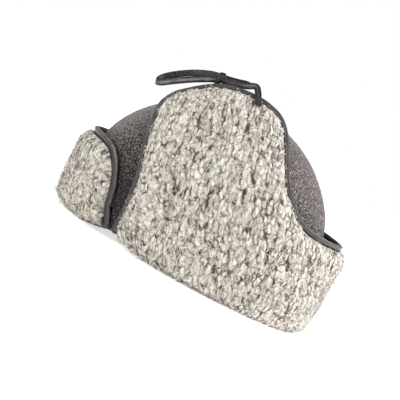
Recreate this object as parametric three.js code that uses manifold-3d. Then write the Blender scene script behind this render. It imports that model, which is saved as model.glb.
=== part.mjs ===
// Sheepskin trapper hat with its front flap turned up and its ear flaps turned up and tied, in millimetres.
// +Z is up. The forehead is towards -X and the wearer's left ear is towards -Y, so azimuth 0 shows
// the left side.
import * as THREE from "three";
import { mergeVertices } from "three/addons/utils/BufferGeometryUtils.js";
import Module from "manifold-3d";

const wasm = await Module();
wasm.setup();

// Crown: four gores of sheepskin, leather outside and wool inside.
const CROWN_HALF_LENGTH = 116;
const CROWN_HALF_WIDTH = 94;
const CROWN_SHOULDER = 50;
const CROWN_HEIGHT = 162;
const CROWN_WALL = 12;
const CROWN_MIDDLE = -3.7;
const CROWN_MIDDLE_DRIFT = 8.7;
const CROWN_FULLNESS = 0.02;
const RIM_TUCK = 3.7;
const RIM_SHIFT = 4.2;
const WALL_SHARE = 0.32;
const GORE_COLUMNS = 11;
const GORE_ROWS = 11;
const ROW_CROWDING = 0.9;
const RIM_DEPTH = 3;
const RIM_OUTER_HEIGHT = 1.5;
const RIM_INNER_HEIGHT = 5;
const SEAM_HALF_GAP = 0.16;

// Flaps: one thickness of sheepskin, its leather towards the crown and its wool outside.
const FLAP_FOOT_THICKNESS = 17.5;
const FLAP_THICKNESS = 14.2;
const FLAP_TIP_THICKNESS = 12;
const NECK_FULLNESS = 4.5;
const FLAP_EDGE_THICKNESS = 4.6;
const FLAP_EDGE_ROUND = 12;
const FOLD_RADIUS = 11;
const FOLD_SEAM = 2.5;
const FOLD_INNER_RISE = 3;
const LOCK_RELIEF = 1.7;
const LOCK_DROOP = 2.2;
const LOCK_PITCH = 8;
const LINING_RELIEF = 0.7;
const CLIMB_SHARE = 0.55;

// Binding: a leather strip folded over the cut edge of a flap.
const BINDING_WIDTH = 5;
const BINDING_THICKNESS = 5.2;
const BINDING_INSIDE = 1;
const BINDING_ROUND = 1.3;
const BINDING_GAP = 0.7;

// Lace: one flat strap from one ear flap to the other, drawn forward and knotted, its middle left as
// a loop.
const LACE_WIDTH = 6;
const LACE_THICKNESS = 2.2;
const KNOT_RADIUS = 3.9;
const KNOT_WIRE = 2.1;
const KNOT_AT = new THREE.Vector3(-46, -44, 172);
const KNOT_SLOPE = -0.32;
const KNOT_TURNS = [{ lean: 0.4, move: -2 }, { lean: -0.35, move: 2 }];
const LACE_STEPS = 80;

// The flap's inner face at each height: half length, half width, and how far its middle lies from
// the origin.
const FLAP_SECTIONS = [
  { z: 0, halfLength: 112.8, halfWidth: 90.9, middle: 0.5 },
  { z: 12, halfLength: 115.4, halfWidth: 93.2, middle: -1.3 },
  { z: 50, halfLength: 120.8, halfWidth: 98, middle: -0.7 },
  { z: 90, halfLength: 125, halfWidth: 97, middle: -0.7 },
  { z: 125, halfLength: 118, halfWidth: 84, middle: -1.5 },
  { z: 150, halfLength: 105, halfWidth: 67, middle: -2.5 },
  { z: 170, halfLength: 94, halfWidth: 54, middle: -3 },
  { z: 190, halfLength: 85, halfWidth: 43, middle: -3.5 },
];

// Edge of an ear flap as seen from the side, from the rim up the front edge, over the tip and down to
// the neck.
const EAR_OUTLINE = [
  { x: -60.7, z: 1 },
  { x: -64.3, z: 26 },
  { x: -66.5, z: 48 },
  { x: -70, z: 68 },
  { x: -75.5, z: 84 },
  { x: -80, z: 103.5 },
  { x: -83, z: 120 },
  { x: -81.5, z: 131.5 },
  { x: -74.5, z: 142.5 },
  { x: -60.5, z: 155.5 },
  { x: -46.5, z: 165.5 },
  { x: -31.5, z: 171.5 },
  { x: -12.5, z: 174 },
  { x: 3.5, z: 173 },
  { x: 17, z: 168.6 },
  { x: 27.5, z: 159.4 },
  { x: 35.3, z: 148.3 },
  { x: 43.3, z: 133.6 },
  { x: 51.5, z: 120.8 },
  { x: 61.5, z: 109.8 },
  { x: 73, z: 100.6 },
  { x: 85.5, z: 95 },
  { x: 99.5, z: 93 },
  { x: 113.5, z: 92.5 },
];
const NECK_HEIGHT = 92;

// Edge of the front flap as seen from the side, from the rim up to the middle of the forehead.
const FRONT_OUTLINE = [
  { x: -65, z: 2 },
  { x: -70.5, z: 13 },
  { x: -75.3, z: 25 },
  { x: -78.3, z: 38.6 },
  { x: -83.5, z: 52 },
  { x: -91, z: 65 },
  { x: -101.5, z: 74.3 },
  { x: -115.5, z: 77.4 },
];
const FRONT_CORNER = 5;
const FRONT_HEIGHT = 77.6;

// A plain sequence of uneven numbers.
const RANDOM_FACTOR = 1021;
const RANDOM_RANGE = 65536;

// The rim lifts a little where the front flap and the ear flaps meet.
const NOTCH_RISE = 6.5;
const NOTCH_ARC = 103;
const NOTCH_SPREAD = 25;
const NOTCH_TOP = 35;

// Colours seen in daylight.
const LEATHER = new THREE.MeshStandardMaterial({ color: 0x5f5855, roughness: 0.55, metalness: 0 });
const BINDING_LEATHER = new THREE.MeshStandardMaterial({ color: 0x453f3d, roughness: 0.45, metalness: 0 });
const LACE_LEATHER = new THREE.MeshStandardMaterial({ color: 0x39322f, roughness: 0.45, metalness: 0 });
const WOOL = new THREE.MeshStandardMaterial({ color: 0xc2bab0, roughness: 0.95, metalness: 0 });

// Joins closed loops of the same number of points into one closed body. caps holds the triangles that close
// the first loop and those that close the last, each running the way its loop does.
function loft(loops, caps) {
  const size = loops[0].length;
  const positions = loops.flat().flatMap((p) => [p.x, p.y, p.z]);
  const faces = [];
  for (let c = 0; c + 1 < loops.length; c++)
    for (let k = 0; k < size; k++) {
      const here = c * size + k;
      const next = c * size + ((k + 1) % size);
      const straight = loops[c][k].distanceTo(loops[c + 1][(k + 1) % size]);
      const crossed = loops[c][(k + 1) % size].distanceTo(loops[c + 1][k]);
      if (straight <= crossed) faces.push([here, next, next + size], [here, next + size, here + size]);
      else faces.push([here, next, here + size], [next, next + size, here + size]);
    }
  const last = (loops.length - 1) * size;
  faces.push(...caps[0].map(([a, b, c]) => [a, c, b]));
  faces.push(...caps[1].map((f) => f.map((i) => i + last)));
  return closedGeometry(positions, faces);
}

// Triangles of a flat loop's cap, running the way the loop does.
function flatCap(flat) {
  const faces = THREE.ShapeUtils.triangulateShape(flat, []);
  const runsForward = faces.some((f) => f.some((i, k) => f[(k + 1) % 3] === (i + 1) % flat.length));
  return runsForward ? faces : faces.map(([a, b, c]) => [a, c, b]);
}

// Triangles between the two long sides of a loop that bends out of its plane. The first turn points
// go up one side and the rest come down the other.
function zippedCap(loop, turn) {
  const faces = [];
  let up = 0;
  let down = loop.length - 1;
  while (up < turn - 1 || down > turn) {
    const stepUp = down === turn || (up < turn - 1 && loop[up + 1].z <= loop[down - 1].z);
    faces.push(stepUp ? [up, up + 1, down] : [up, down - 1, down]);
    if (stepUp) up += 1;
    else down -= 1;
  }
  return faces;
}

// Merges points that coincide, drops the faces that vanish with them, and turns the faces outwards.
function closedGeometry(positions, faces) {
  const raw = new THREE.BufferGeometry();
  raw.setAttribute("position", new THREE.Float32BufferAttribute(positions, 3));
  raw.setIndex(faces.flat());
  const merged = mergeVertices(raw, 1e-3);
  const index = merged.index.array;
  const place = merged.attributes.position;
  const kept = [];
  let volume = 0;
  const [a, b, c] = [new THREE.Vector3(), new THREE.Vector3(), new THREE.Vector3()];
  for (let i = 0; i < index.length; i += 3) {
    const [p, q, r] = [index[i], index[i + 1], index[i + 2]];
    if (p === q || q === r || r === p) continue;
    kept.push([p, q, r]);
    a.fromBufferAttribute(place, p);
    b.fromBufferAttribute(place, q);
    c.fromBufferAttribute(place, r);
    volume += a.dot(b.cross(c));
  }
  merged.setIndex(kept.flatMap(([p, q, r]) => (volume > 0 ? [p, q, r] : [p, r, q])));
  merged.computeVertexNormals();
  return merged;
}

// The same body on the other side of the hat.
function mirrored(geometry) {
  const place = geometry.attributes.position;
  const positions = [];
  for (let i = 0; i < place.count; i++) positions.push(place.getX(i), -place.getY(i), place.getZ(i));
  const index = Array.from(geometry.index.array);
  const faces = [];
  for (let i = 0; i < index.length; i += 3) faces.push([index[i], index[i + 2], index[i + 1]]);
  return closedGeometry(positions, faces);
}

// Direction square to a surface, which is given as a function of two parameters.
function surfaceNormal(surface, s, t, step) {
  const alongS = surface(s + step, t).sub(surface(s - step, t));
  const alongT = surface(s, t + step).sub(surface(s, t - step));
  return alongS.cross(alongT).normalize();
}

const mix = (a, b, share) => a + (b - a) * share;
const clamp = (v, low, high) => Math.min(high, Math.max(low, v));
const smooth = (v, low, high) => {
  const share = clamp((v - low) / (high - low), 0, 1);
  return share * share * (3 - 2 * share);
};

// Crown's outer face: an oval wall up to the shoulder, then a dome. angle runs round from the forehead
// by way of the left ear, and rise goes from 0 at the rim to 1 at the top.
function crownPoint(angle, rise) {
  const quarter = clamp((rise - WALL_SHARE) / (1 - WALL_SHARE), 0, 1) * (Math.PI / 2);
  const spread = Math.max(Math.cos(quarter), 0) + CROWN_FULLNESS * Math.sin(4 * quarter);
  const climb = Math.sin(quarter);
  const z = mix(CROWN_SHOULDER * clamp(rise / WALL_SHARE, 0, 1), CROWN_HEIGHT, climb);
  const toRim = Math.pow(1 - clamp(z / CROWN_SHOULDER, 0, 1), 2);
  const tuck = RIM_TUCK * toRim;
  const middle = CROWN_MIDDLE + CROWN_MIDDLE_DRIFT * climb * climb + RIM_SHIFT * toRim;
  return new THREE.Vector3(
    middle - (CROWN_HALF_LENGTH - tuck) * spread * Math.cos(angle),
    -(CROWN_HALF_WIDTH - tuck) * spread * Math.sin(angle),
    z,
  );
}

// The same row of numbers between -1 and 1 on every run, for the uneven wool.
function unevenness(seed) {
  let state = seed;
  return () => {
    state = (state * RANDOM_FACTOR + 1) % RANDOM_RANGE;
    return (2 * state) / RANDOM_RANGE - 1;
  };
}

// One gore of the crown, a quarter of the way round, moved off its neighbours by the width of the seam.
function crownGore(quarter) {
  const start = (quarter * Math.PI) / 2;
  const mid = start + Math.PI / 4;
  const shift = new THREE.Vector3(-Math.sign(Math.cos(mid)), -Math.sign(Math.sin(mid)), 0);
  shift.multiplyScalar(SEAM_HALF_GAP);
  const uneven = unevenness(quarter + 1);
  const loops = [];
  const flats = [];
  for (let column = 0; column <= GORE_COLUMNS; column++) {
    const angle = start + (column / GORE_COLUMNS) * (Math.PI / 2);
    const inSeam = column === 0 || column === GORE_COLUMNS;
    const outward = new THREE.Vector3(
      -Math.cos(angle) * CROWN_HALF_WIDTH,
      -Math.sin(angle) * CROWN_HALF_LENGTH,
      0,
    ).normalize();
    const outside = [];
    const inside = [];
    for (let row = 0; row <= GORE_ROWS; row++) {
      const rise = Math.pow(row / GORE_ROWS, ROW_CROWDING);
      const top = row === GORE_ROWS;
      const point = crownPoint(angle, rise);
      const normal = surfaceNormal(crownPoint, angle, clamp(rise, 0.01, 0.98), 0.005);
      if (normal.dot(outward) < 0) normal.negate();
      if (row === 0) normal.copy(outward);
      if (top) normal.set(0, 0, 1);
      const relief = inSeam || top || row === 0 ? 0 : LINING_RELIEF * uneven();
      outside.push(point);
      inside.push(point.clone().addScaledVector(normal, relief - CROWN_WALL));
    }
    outside[0].z = RIM_OUTER_HEIGHT;
    inside[0].z = RIM_INNER_HEIGHT;
    const rim = [CROWN_WALL - RIM_DEPTH, RIM_DEPTH].map((depth) =>
      crownPoint(angle, 0).addScaledVector(outward, -depth),
    );
    const loop = [...outside, ...inside.reverse(), ...rim].map((p) => p.add(shift));
    for (const p of loop) p.z += notchLift(arcOfAngle(Math.acos(Math.cos(angle))), p.z);
    loops.push(loop);
    flats.push(loop.map((p) => new THREE.Vector2((p.x - CROWN_MIDDLE) * outward.x + p.y * outward.y, p.z)));
  }
  return loft(loops, [flatCap(flats[0]), flatCap(flats[GORE_COLUMNS])]);
}

// A row of the flap's table of sections, worked out at any height with a smooth curve through the rows.
function flapSection(z) {
  const rows = FLAP_SECTIONS;
  let i = rows.findIndex((row) => row.z > z) - 1;
  if (i < 0) i = z <= rows[0].z ? 0 : rows.length - 2;
  const [low, high] = [rows[i], rows[i + 1]];
  const [below, above] = [rows[Math.max(i - 1, 0)], rows[Math.min(i + 2, rows.length - 1)]];
  const span = high.z - low.z;
  const t = clamp((z - low.z) / span, 0, 1);
  const blend = (name) => {
    const slopeLow = ((high[name] - below[name]) / (high.z - below.z)) * span;
    const slopeHigh = ((above[name] - low[name]) / (above.z - low.z)) * span;
    return (
      (2 * t ** 3 - 3 * t ** 2 + 1) * low[name] +
      (t ** 3 - 2 * t ** 2 + t) * slopeLow +
      (3 * t ** 2 - 2 * t ** 3) * high[name] +
      (t ** 3 - t ** 2) * slopeHigh
    );
  };
  return { halfLength: blend("halfLength"), halfWidth: blend("halfWidth"), middle: blend("middle") };
}

// Length round the reference oval of the flaps, from the forehead, at each of many angles.
const REFERENCE = flapSection(50);
const ARC_STEPS = 720;
const ARC = [0];
for (let i = 1; i <= ARC_STEPS; i++) {
  const angle = ((i - 0.5) / ARC_STEPS) * Math.PI;
  const speed = Math.hypot(REFERENCE.halfLength * Math.sin(angle), REFERENCE.halfWidth * Math.cos(angle));
  ARC.push(ARC[i - 1] + (speed * Math.PI) / ARC_STEPS);
}
const HALF_ROUND = ARC[ARC_STEPS];

function arcOfAngle(angle) {
  const at = (Math.abs(angle) / Math.PI) * ARC_STEPS;
  const i = clamp(Math.floor(at), 0, ARC_STEPS - 1);
  return Math.sign(angle) * mix(ARC[i], ARC[i + 1], at - i);
}

function angleOfArc(arc) {
  const length = Math.abs(arc);
  let i = ARC.findIndex((a) => a > length) - 1;
  if (i < 0) i = ARC_STEPS - 1;
  const share = (length - ARC[i]) / (ARC[i + 1] - ARC[i]);
  return (Math.sign(arc) * (i + share) * Math.PI) / ARC_STEPS;
}

// How far a point of the flaps is lifted by the notch between them.
function notchLift(arc, z) {
  const away = (Math.abs(arc) - NOTCH_ARC) / NOTCH_SPREAD;
  return NOTCH_RISE * Math.exp(-away * away) * (1 - smooth(z, 0, NOTCH_TOP));
}

// The flap's inner face, at a length round the reference oval and a height.
function flapPoint(arc, z) {
  const lifted = z + notchLift(arc, z);
  const section = flapSection(lifted);
  const angle = angleOfArc(arc);
  return new THREE.Vector3(
    section.middle - section.halfLength * Math.cos(angle),
    -section.halfWidth * Math.sin(angle),
    lifted,
  );
}

// Which way the flap's thickness goes: level near the fold, and square to the face higher up.
function flapOutward(arc, z) {
  const normal = surfaceNormal(flapPoint, arc, clamp(z, 1, 186), 0.5);
  const angle = angleOfArc(arc);
  if (normal.x * -Math.cos(angle) + normal.y * -Math.sin(angle) < 0) normal.negate();
  normal.z *= smooth(z, 20, 95);
  return normal.normalize();
}

// An outline drawn from the side, as a smooth line of arc lengths and heights on the flap.
function outlineOnFlap(rows, lastArc, lastHeight) {
  const points = rows.map(({ x, z }) => {
    const section = flapSection(z);
    return new THREE.Vector2(arcOfAngle(Math.acos((section.middle - x) / section.halfLength)), z);
  });
  points.push(new THREE.Vector2(lastArc, lastHeight));
  return new THREE.SplineCurve(points);
}

// A line that runs at a fixed distance inside an outline, measured on the flap's own face.
function insetLine(curve, distance, steps) {
  const line = [];
  for (let i = 0; i <= steps; i++) {
    const here = curve.getPoint(i / steps);
    const before = curve.getPoint(Math.max(i - 0.5, 0) / steps);
    const after = curve.getPoint(Math.min(i + 0.5, steps) / steps);
    const scaleArc = flapPoint(here.x + 1, here.y).distanceTo(flapPoint(here.x - 1, here.y)) / 2;
    const scaleUp = flapPoint(here.x, here.y + 1).distanceTo(flapPoint(here.x, here.y - 1)) / 2;
    const tangent = new THREE.Vector2((after.x - before.x) * scaleArc, (after.y - before.y) * scaleUp);
    tangent.normalize();
    const arc = here.x + (distance * tangent.y) / scaleArc;
    line.push(new THREE.Vector2(arc, here.y - (distance * tangent.x) / scaleUp));
  }
  return line;
}

// Length along a line of arc lengths and heights, measured on the flap's own face. A share below 1 counts
// the climb for less, which spaces a flap's columns more evenly round the hat.
function lengthsAlong(line, climbShare = 1) {
  const lengths = [0];
  for (let i = 1; i < line.length; i++) {
    const step = flapPoint(line[i].x, line[i].y).sub(flapPoint(line[i - 1].x, line[i - 1].y));
    lengths.push(lengths[i - 1] + Math.hypot(step.x, step.y, step.z * climbShare));
  }
  return lengths;
}

function pointAtLength(line, lengths, length) {
  let i = lengths.findIndex((l) => l > length) - 1;
  if (i < 0) i = length <= 0 ? 0 : line.length - 2;
  return line[i].clone().lerp(line[i + 1], clamp((length - lengths[i]) / (lengths[i + 1] - lengths[i]), 0, 1));
}

// One flap of sheepskin. line is its cut edge, whose part before corner is the upright front edge.
// A flap with two free ends repeats the front edge, mirrored, at its far end.
function flapBody({ line, corner, columns, rowsInside, rowsOutside, twoEnded, endGap }) {
  const uprightLine = line.slice(0, corner + 1);
  const topLine = twoEnded ? line.slice(corner, line.length - corner) : line.slice(corner);
  const topLengths = lengthsAlong(topLine, CLIMB_SHARE);
  const topLength = topLengths[topLengths.length - 1];
  const [footArc, cornerArc, cornerHeight] = [line[0].x, uprightLine[corner].x, uprightLine[corner].y];
  const endArc = twoEnded ? -footArc : HALF_ROUND - endGap;
  const edgePoints = line.map((p) => flapPoint(p.x, p.y));
  const edgePieces = edgePoints.slice(1).map((p, i) => new THREE.Line3(edgePoints[i], p));

  // How far the front edge stands from the straight line between its foot and the corner.
  const bow = (share) => {
    const z = share * cornerHeight;
    let i = uprightLine.findIndex((p) => p.y > z) - 1;
    if (i < 0) i = z <= uprightLine[0].y ? 0 : corner - 1;
    const [low, high] = [uprightLine[i], uprightLine[i + 1]];
    return mix(low.x, high.x, (z - low.y) / (high.y - low.y)) - mix(footArc, cornerArc, share);
  };
  const thicknessAt = (arc, z) => {
    const here = flapPoint(arc, z);
    const nearest = new THREE.Vector3();
    const distances = edgePieces.map((e) => e.closestPointToPoint(here, true, nearest).distanceTo(here));
    const distance = Math.min(...distances);
    const share = clamp(distance / FLAP_EDGE_ROUND, 0, 1);
    const low = 1 - smooth(z, 15, 80);
    const neck = NECK_FULLNESS * smooth(Math.abs(arc), 0.65 * HALF_ROUND, 0.9 * HALF_ROUND);
    const high = smooth(z, 100, 165);
    const tip = (FLAP_TIP_THICKNESS - FLAP_THICKNESS) * high;
    const full = mix(FLAP_THICKNESS, FLAP_FOOT_THICKNESS + neck, low) + tip;
    return mix(FLAP_EDGE_THICKNESS, full, Math.sqrt(1 - (1 - share) ** 2));
  };

  const uneven = unevenness(columns);
  const loops = [];
  for (let column = 0; column <= columns; column++) {
    const u = column / columns;
    const top = pointAtLength(topLine, topLengths, u * topLength);
    const foot = mix(footArc, endArc, u);
    const topArc = twoEnded ? top.x : Math.min(top.x, endArc);
    const arcAt = (share) =>
      mix(foot, topArc, share) + (1 - u) ** 3 * bow(share) - (twoEnded ? u ** 3 * bow(share) : 0);
    const atEnd = column === 0 || (column === columns && twoEnded);
    const foldThickness = thicknessAt(arcAt(0.1), 0.1 * top.y);
    const radius = clamp(foldThickness - FOLD_SEAM - 0.5, 1, FOLD_RADIUS);
    const loop = [];
    const add = (arc, z, depth, level) => {
      const point = flapPoint(arc, z);
      const outward = flapOutward(arc, z);
      point.addScaledVector(outward, depth);
      if (level) point.z = z + notchLift(arc, z);
      point.z = Math.max(point.z, 0);
      loop.push(point);
    };
    for (let row = 0; row < rowsInside; row++) {
      const share = mix(FOLD_INNER_RISE / top.y, 1, row / (rowsInside - 1));
      add(arcAt(share), share * top.y, 0, false);
    }
    for (let row = 0; row < rowsOutside; row++) {
      const share = mix(1, radius / top.y, row / (rowsOutside - 1));
      const onEdge = row === 0 || row === rowsOutside - 1 || atEnd;
      const [arc, z] = [arcAt(share), share * top.y];
      const rise = onEdge ? 0 : uneven() * clamp((top.y / rowsOutside) / LOCK_PITCH, 0.45, 1);
      const thickness = row === 0 ? FLAP_EDGE_THICKNESS : thicknessAt(arc, z);
      add(arc, z - LOCK_DROOP * Math.max(rise, 0), thickness + LOCK_RELIEF * rise, z < 20);
    }
    const roll = Math.PI / 4;
    add(arcAt(0), radius * (1 - Math.sin(roll)), foldThickness - radius * (1 - Math.cos(roll)), true);
    add(arcAt(0), 0, foldThickness - radius, true);
    add(arcAt(0), 0, FOLD_SEAM, true);
    loops.push(loop);
  }
  return loft(loops, [zippedCap(loops[0], rowsInside), zippedCap(loops[columns], rowsInside)]);
}

// A bar with rounded edges that runs along a line on the flap's face, over its cut edge.
function bindingBody(line, steps, endGap) {
  const lengths = lengthsAlong(line);
  const total = lengths[lengths.length - 1] - endGap;
  const half = BINDING_WIDTH / 2;
  const high = BINDING_THICKNESS;
  const round = BINDING_ROUND;
  const section = [
    [half, round], [half, high - round], [half - round, high],
    [round - half, high], [-half, high - round], [-half, round], [0, 0],
  ].map(([across, depth]) => new THREE.Vector2(across, depth));
  const loops = [];
  for (let i = 0; i <= steps; i++) {
    const length = (i / steps) * total;
    const here = pointAtLength(line, lengths, length);
    const ahead = pointAtLength(line, lengths, Math.min(length + 1, total));
    const behind = pointAtLength(line, lengths, Math.max(length - 1, 0));
    const tangent = flapPoint(ahead.x, ahead.y).sub(flapPoint(behind.x, behind.y)).normalize();
    const outward = flapOutward(here.x, here.y);
    const across = new THREE.Vector3().crossVectors(outward, tangent).normalize();
    const sunk = BINDING_INSIDE * smooth(here.y, 12, 45);
    const centre = flapPoint(here.x, here.y).addScaledVector(outward, -sunk);
    loops.push(
      section.map((p) => {
        const point = centre.clone().addScaledVector(across, p.x).addScaledVector(outward, p.y);
        point.z = Math.max(point.z, 0.6);
        return point;
      }),
    );
  }
  return loft(loops, [flatCap(section), flatCap(section)]);
}

// A flat strap along a smooth line. faceAt gives the way its broad face looks at each share of the line.
function strapBody(curve, steps, faceAt) {
  const [w, t] = [LACE_WIDTH / 2, LACE_THICKNESS / 2];
  const section = [[w, 0], [w - 0.6, t], [0.6 - w, t], [-w, 0], [0.6 - w, -t], [w - 0.6, -t]]
    .map(([across, depth]) => new THREE.Vector2(across, depth));
  const loops = [];
  for (let i = 0; i <= steps; i++) {
    const share = i / steps;
    const centre = curve.getPointAt(share);
    const tangent = curve.getTangentAt(share);
    const face = faceAt(share);
    face.addScaledVector(tangent, -face.dot(tangent)).normalize();
    const across = new THREE.Vector3().crossVectors(tangent, face);
    loops.push(section.map((p) => centre.clone().addScaledVector(across, p.x).addScaledVector(face, p.y)));
  }
  return loft(loops, [flatCap(section), flatCap(section)]);
}

// A geometry as a solid that can be joined to others, and back again.
function solidOf(geometry) {
  const bare = geometry.clone();
  bare.deleteAttribute("normal");
  bare.deleteAttribute("uv");
  const merged = mergeVertices(bare, 1e-3);
  const triVerts = new Uint32Array(merged.index.array);
  const vertProperties = new Float32Array(merged.attributes.position.array);
  return new wasm.Manifold(new wasm.Mesh({ numProp: 3, vertProperties, triVerts }));
}

function geometryOf(solid) {
  const mesh = solid.getMesh();
  const geometry = new THREE.BufferGeometry();
  geometry.setAttribute("position", new THREE.BufferAttribute(new Float32Array(mesh.vertProperties), 3));
  geometry.setIndex(new THREE.BufferAttribute(new Uint32Array(mesh.triVerts), 1));
  geometry.computeVertexNormals();
  return geometry;
}

// Route of the lace, from the wool of the left flap up to the knot, round the loop, back through the knot
// and over the top of the crown to the wool of the right flap. face is the way its broad side looks.
const LACE_ROUTE = [
  { x: -6.2, y: -70, z: 168.2, face: [0.3, -1, 0.7] },
  { x: -9.3, y: -63.6, z: 173.6, face: [0.3, -1, 0.8] },
  { x: -12.1, y: -55.5, z: 178.2, face: [0.7, -0.8, 0.6] },
  { x: -16, y: -50.5, z: 181.6, face: [0.2, -0.9, 0.9] },
  { x: -23.5, y: -48.5, z: 178, face: [0, -1, 0.3] },
  { x: -32.5, y: -47.5, z: 175.2, face: [0, -1, 0.1] },
  { x: -40.5, y: -46.5, z: 173, face: [0, -1, 0.1] },
  { x: -47.5, y: -46, z: 171, face: [0, -1, 0.1] },
  { x: -53.5, y: -46.5, z: 168.3, face: [0, -1, 0.1] },
  { x: -60.5, y: -48.8, z: 164.4, face: [0, -1, 0.1] },
  { x: -68.5, y: -50.5, z: 159.6, face: [0, -1, 0.1] },
  { x: -76.5, y: -51.5, z: 154.3, face: [0, -1, 0.1] },
  { x: -84.5, y: -51, z: 148.7, face: [-0.1, -1, 0.1] },
  { x: -92.5, y: -47.5, z: 143, face: [-0.5, -1, 0] },
  { x: -96.9, y: -41.5, z: 141.9, face: [-1, 0, -0.3] },
  { x: -94.7, y: -35.5, z: 147, face: [-0.5, 1, -0.3] },
  { x: -88.5, y: -32.5, z: 153.4, face: [-0.1, 1, -0.3] },
  { x: -80.5, y: -31, z: 159.4, face: [0, 1, -0.3] },
  { x: -71.5, y: -31.5, z: 165.2, face: [0, 1, -0.3] },
  { x: -62.5, y: -34.5, z: 169.6, face: [0, 1, -0.2] },
  { x: -54.5, y: -39.5, z: 172.6, face: [0, 1, -0.1] },
  { x: -47.5, y: -41.5, z: 173.8, face: [0, 1, 0] },
  { x: -40.5, y: -41.5, z: 175.2, face: [0, 1, 0.1] },
  { x: -32.5, y: -41, z: 177.2, face: [0, 1, 0.2] },
  { x: -25, y: -39, z: 179.6, face: [0.2, 1, 0.5] },
  { x: -20, y: -33, z: 181.4, face: [0.3, 0.4, 1] },
  { x: -17, y: -22, z: 182.4, face: [0.1, 0.2, 1] },
  { x: -14.5, y: -2, z: 181.4, face: [0.1, 0.1, 1] },
  { x: -13, y: 22, z: 180.2, face: [0, 0.1, 1] },
  { x: -11.5, y: 44, z: 179, face: [0, 0.4, 1] },
  { x: -10, y: 59.2, z: 176.2, face: [0.1, 1, 1] },
  { x: -8.8, y: 69.6, z: 168.6, face: [0.1, 1, 0.6] },
];

// The lace with its knot, fused into one body: the strap, and the turns that it takes round itself.
function laceBody() {
  const curve = new THREE.CatmullRomCurve3(LACE_ROUTE.map(({ x, y, z }) => new THREE.Vector3(x, y, z)));
  const faceAt = (share) => {
    const at = curve.getUtoTmapping(share) * (LACE_ROUTE.length - 1);
    const i = clamp(Math.floor(at), 0, LACE_ROUTE.length - 2);
    const ahead = new THREE.Vector3(...LACE_ROUTE[i + 1].face);
    return new THREE.Vector3(...LACE_ROUTE[i].face).lerp(ahead, at - i);
  };
  let solid = solidOf(strapBody(curve, LACE_STEPS, faceAt));
  const forward = new THREE.Vector3(-1, 0, KNOT_SLOPE).normalize();
  const along = new THREE.Quaternion().setFromUnitVectors(new THREE.Vector3(0, 0, 1), forward);
  for (const turn of KNOT_TURNS) {
    const ring = new THREE.TorusGeometry(KNOT_RADIUS, KNOT_WIRE, 6, 12);
    ring.rotateX(turn.lean);
    ring.translate(0, 0, turn.move);
    ring.applyQuaternion(along);
    ring.translate(KNOT_AT.x, KNOT_AT.y, KNOT_AT.z);
    solid = solid.add(solidOf(ring));
  }
  return geometryOf(solid);
}

const hat = new THREE.Group();

function addPiece(name, geometry, material) {
  const mesh = new THREE.Mesh(geometry, material);
  mesh.name = name;
  hat.add(mesh);
}

const GORE_NAMES = ["crown_front_left", "crown_back_left", "crown_back_right", "crown_front_right"];
GORE_NAMES.forEach((name, quarter) => addPiece(name, crownGore(quarter), LEATHER));

// Ear flaps, each one piece with its half of the neck cuff, meeting at the middle of the back.
const LINE_STEPS_PER_POINT = 8;
const earCurve = outlineOnFlap(EAR_OUTLINE, HALF_ROUND, NECK_HEIGHT);
const earSteps = EAR_OUTLINE.length * LINE_STEPS_PER_POINT;
const earLine = insetLine(earCurve, BINDING_WIDTH + BINDING_GAP, earSteps);
const earFlap = flapBody({
  line: earLine,
  corner: earLine.reduce((best, p, i) => (p.x < earLine[best].x ? i : best), 0),
  columns: 40,
  rowsInside: 7,
  rowsOutside: 18,
  twoEnded: false,
  endGap: SEAM_HALF_GAP,
});
const earBinding = bindingBody(insetLine(earCurve, BINDING_WIDTH / 2, earSteps), 58, SEAM_HALF_GAP);
addPiece("left_ear_flap", earFlap, WOOL);
addPiece("right_ear_flap", mirrored(earFlap), WOOL);
addPiece("left_flap_binding", earBinding, BINDING_LEATHER);
addPiece("right_flap_binding", mirrored(earBinding), BINDING_LEATHER);

// Front flap, whose outline runs on over the forehead as its own mirror image.
const frontCurve = outlineOnFlap(FRONT_OUTLINE, 0, FRONT_HEIGHT);
const frontSteps = FRONT_OUTLINE.length * LINE_STEPS_PER_POINT;
const bothSides = (half) => [
  ...half,
  ...half.slice(0, -1).reverse().map((p) => new THREE.Vector2(-p.x, p.y)),
];
const frontEdge = (inset) => {
  const half = insetLine(frontCurve, -inset, frontSteps);
  return bothSides(half).map((p) => new THREE.Vector2(-p.x, p.y));
};
const frontFlap = flapBody({
  line: frontEdge(BINDING_WIDTH + BINDING_GAP),
  corner: FRONT_CORNER * LINE_STEPS_PER_POINT,
  columns: 32,
  rowsInside: 5,
  rowsOutside: 10,
  twoEnded: true,
  endGap: 0,
});
addPiece("front_flap", frontFlap, WOOL);
addPiece("front_flap_binding", bindingBody(frontEdge(BINDING_WIDTH / 2), 44, 0), BINDING_LEATHER);

addPiece("tie_lace", laceBody(), LACE_LEATHER);

export default hat;
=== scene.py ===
# %% [markdown]
# # A sheepskin trapper hat
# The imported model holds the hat's solids at their real size and place. This lesson gives every
# surface its real finish: curly wool, grained leather, bound edges and a flat lace. It could keep
# the solids and colour them, but wool is crowded with lumps and curls, so each solid is replaced by
# surfaces worked out from the same few sizes.

# %% Frame
import math

import bmesh
import bpy
import numpy as np
from mathutils import Matrix, Vector


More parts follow.
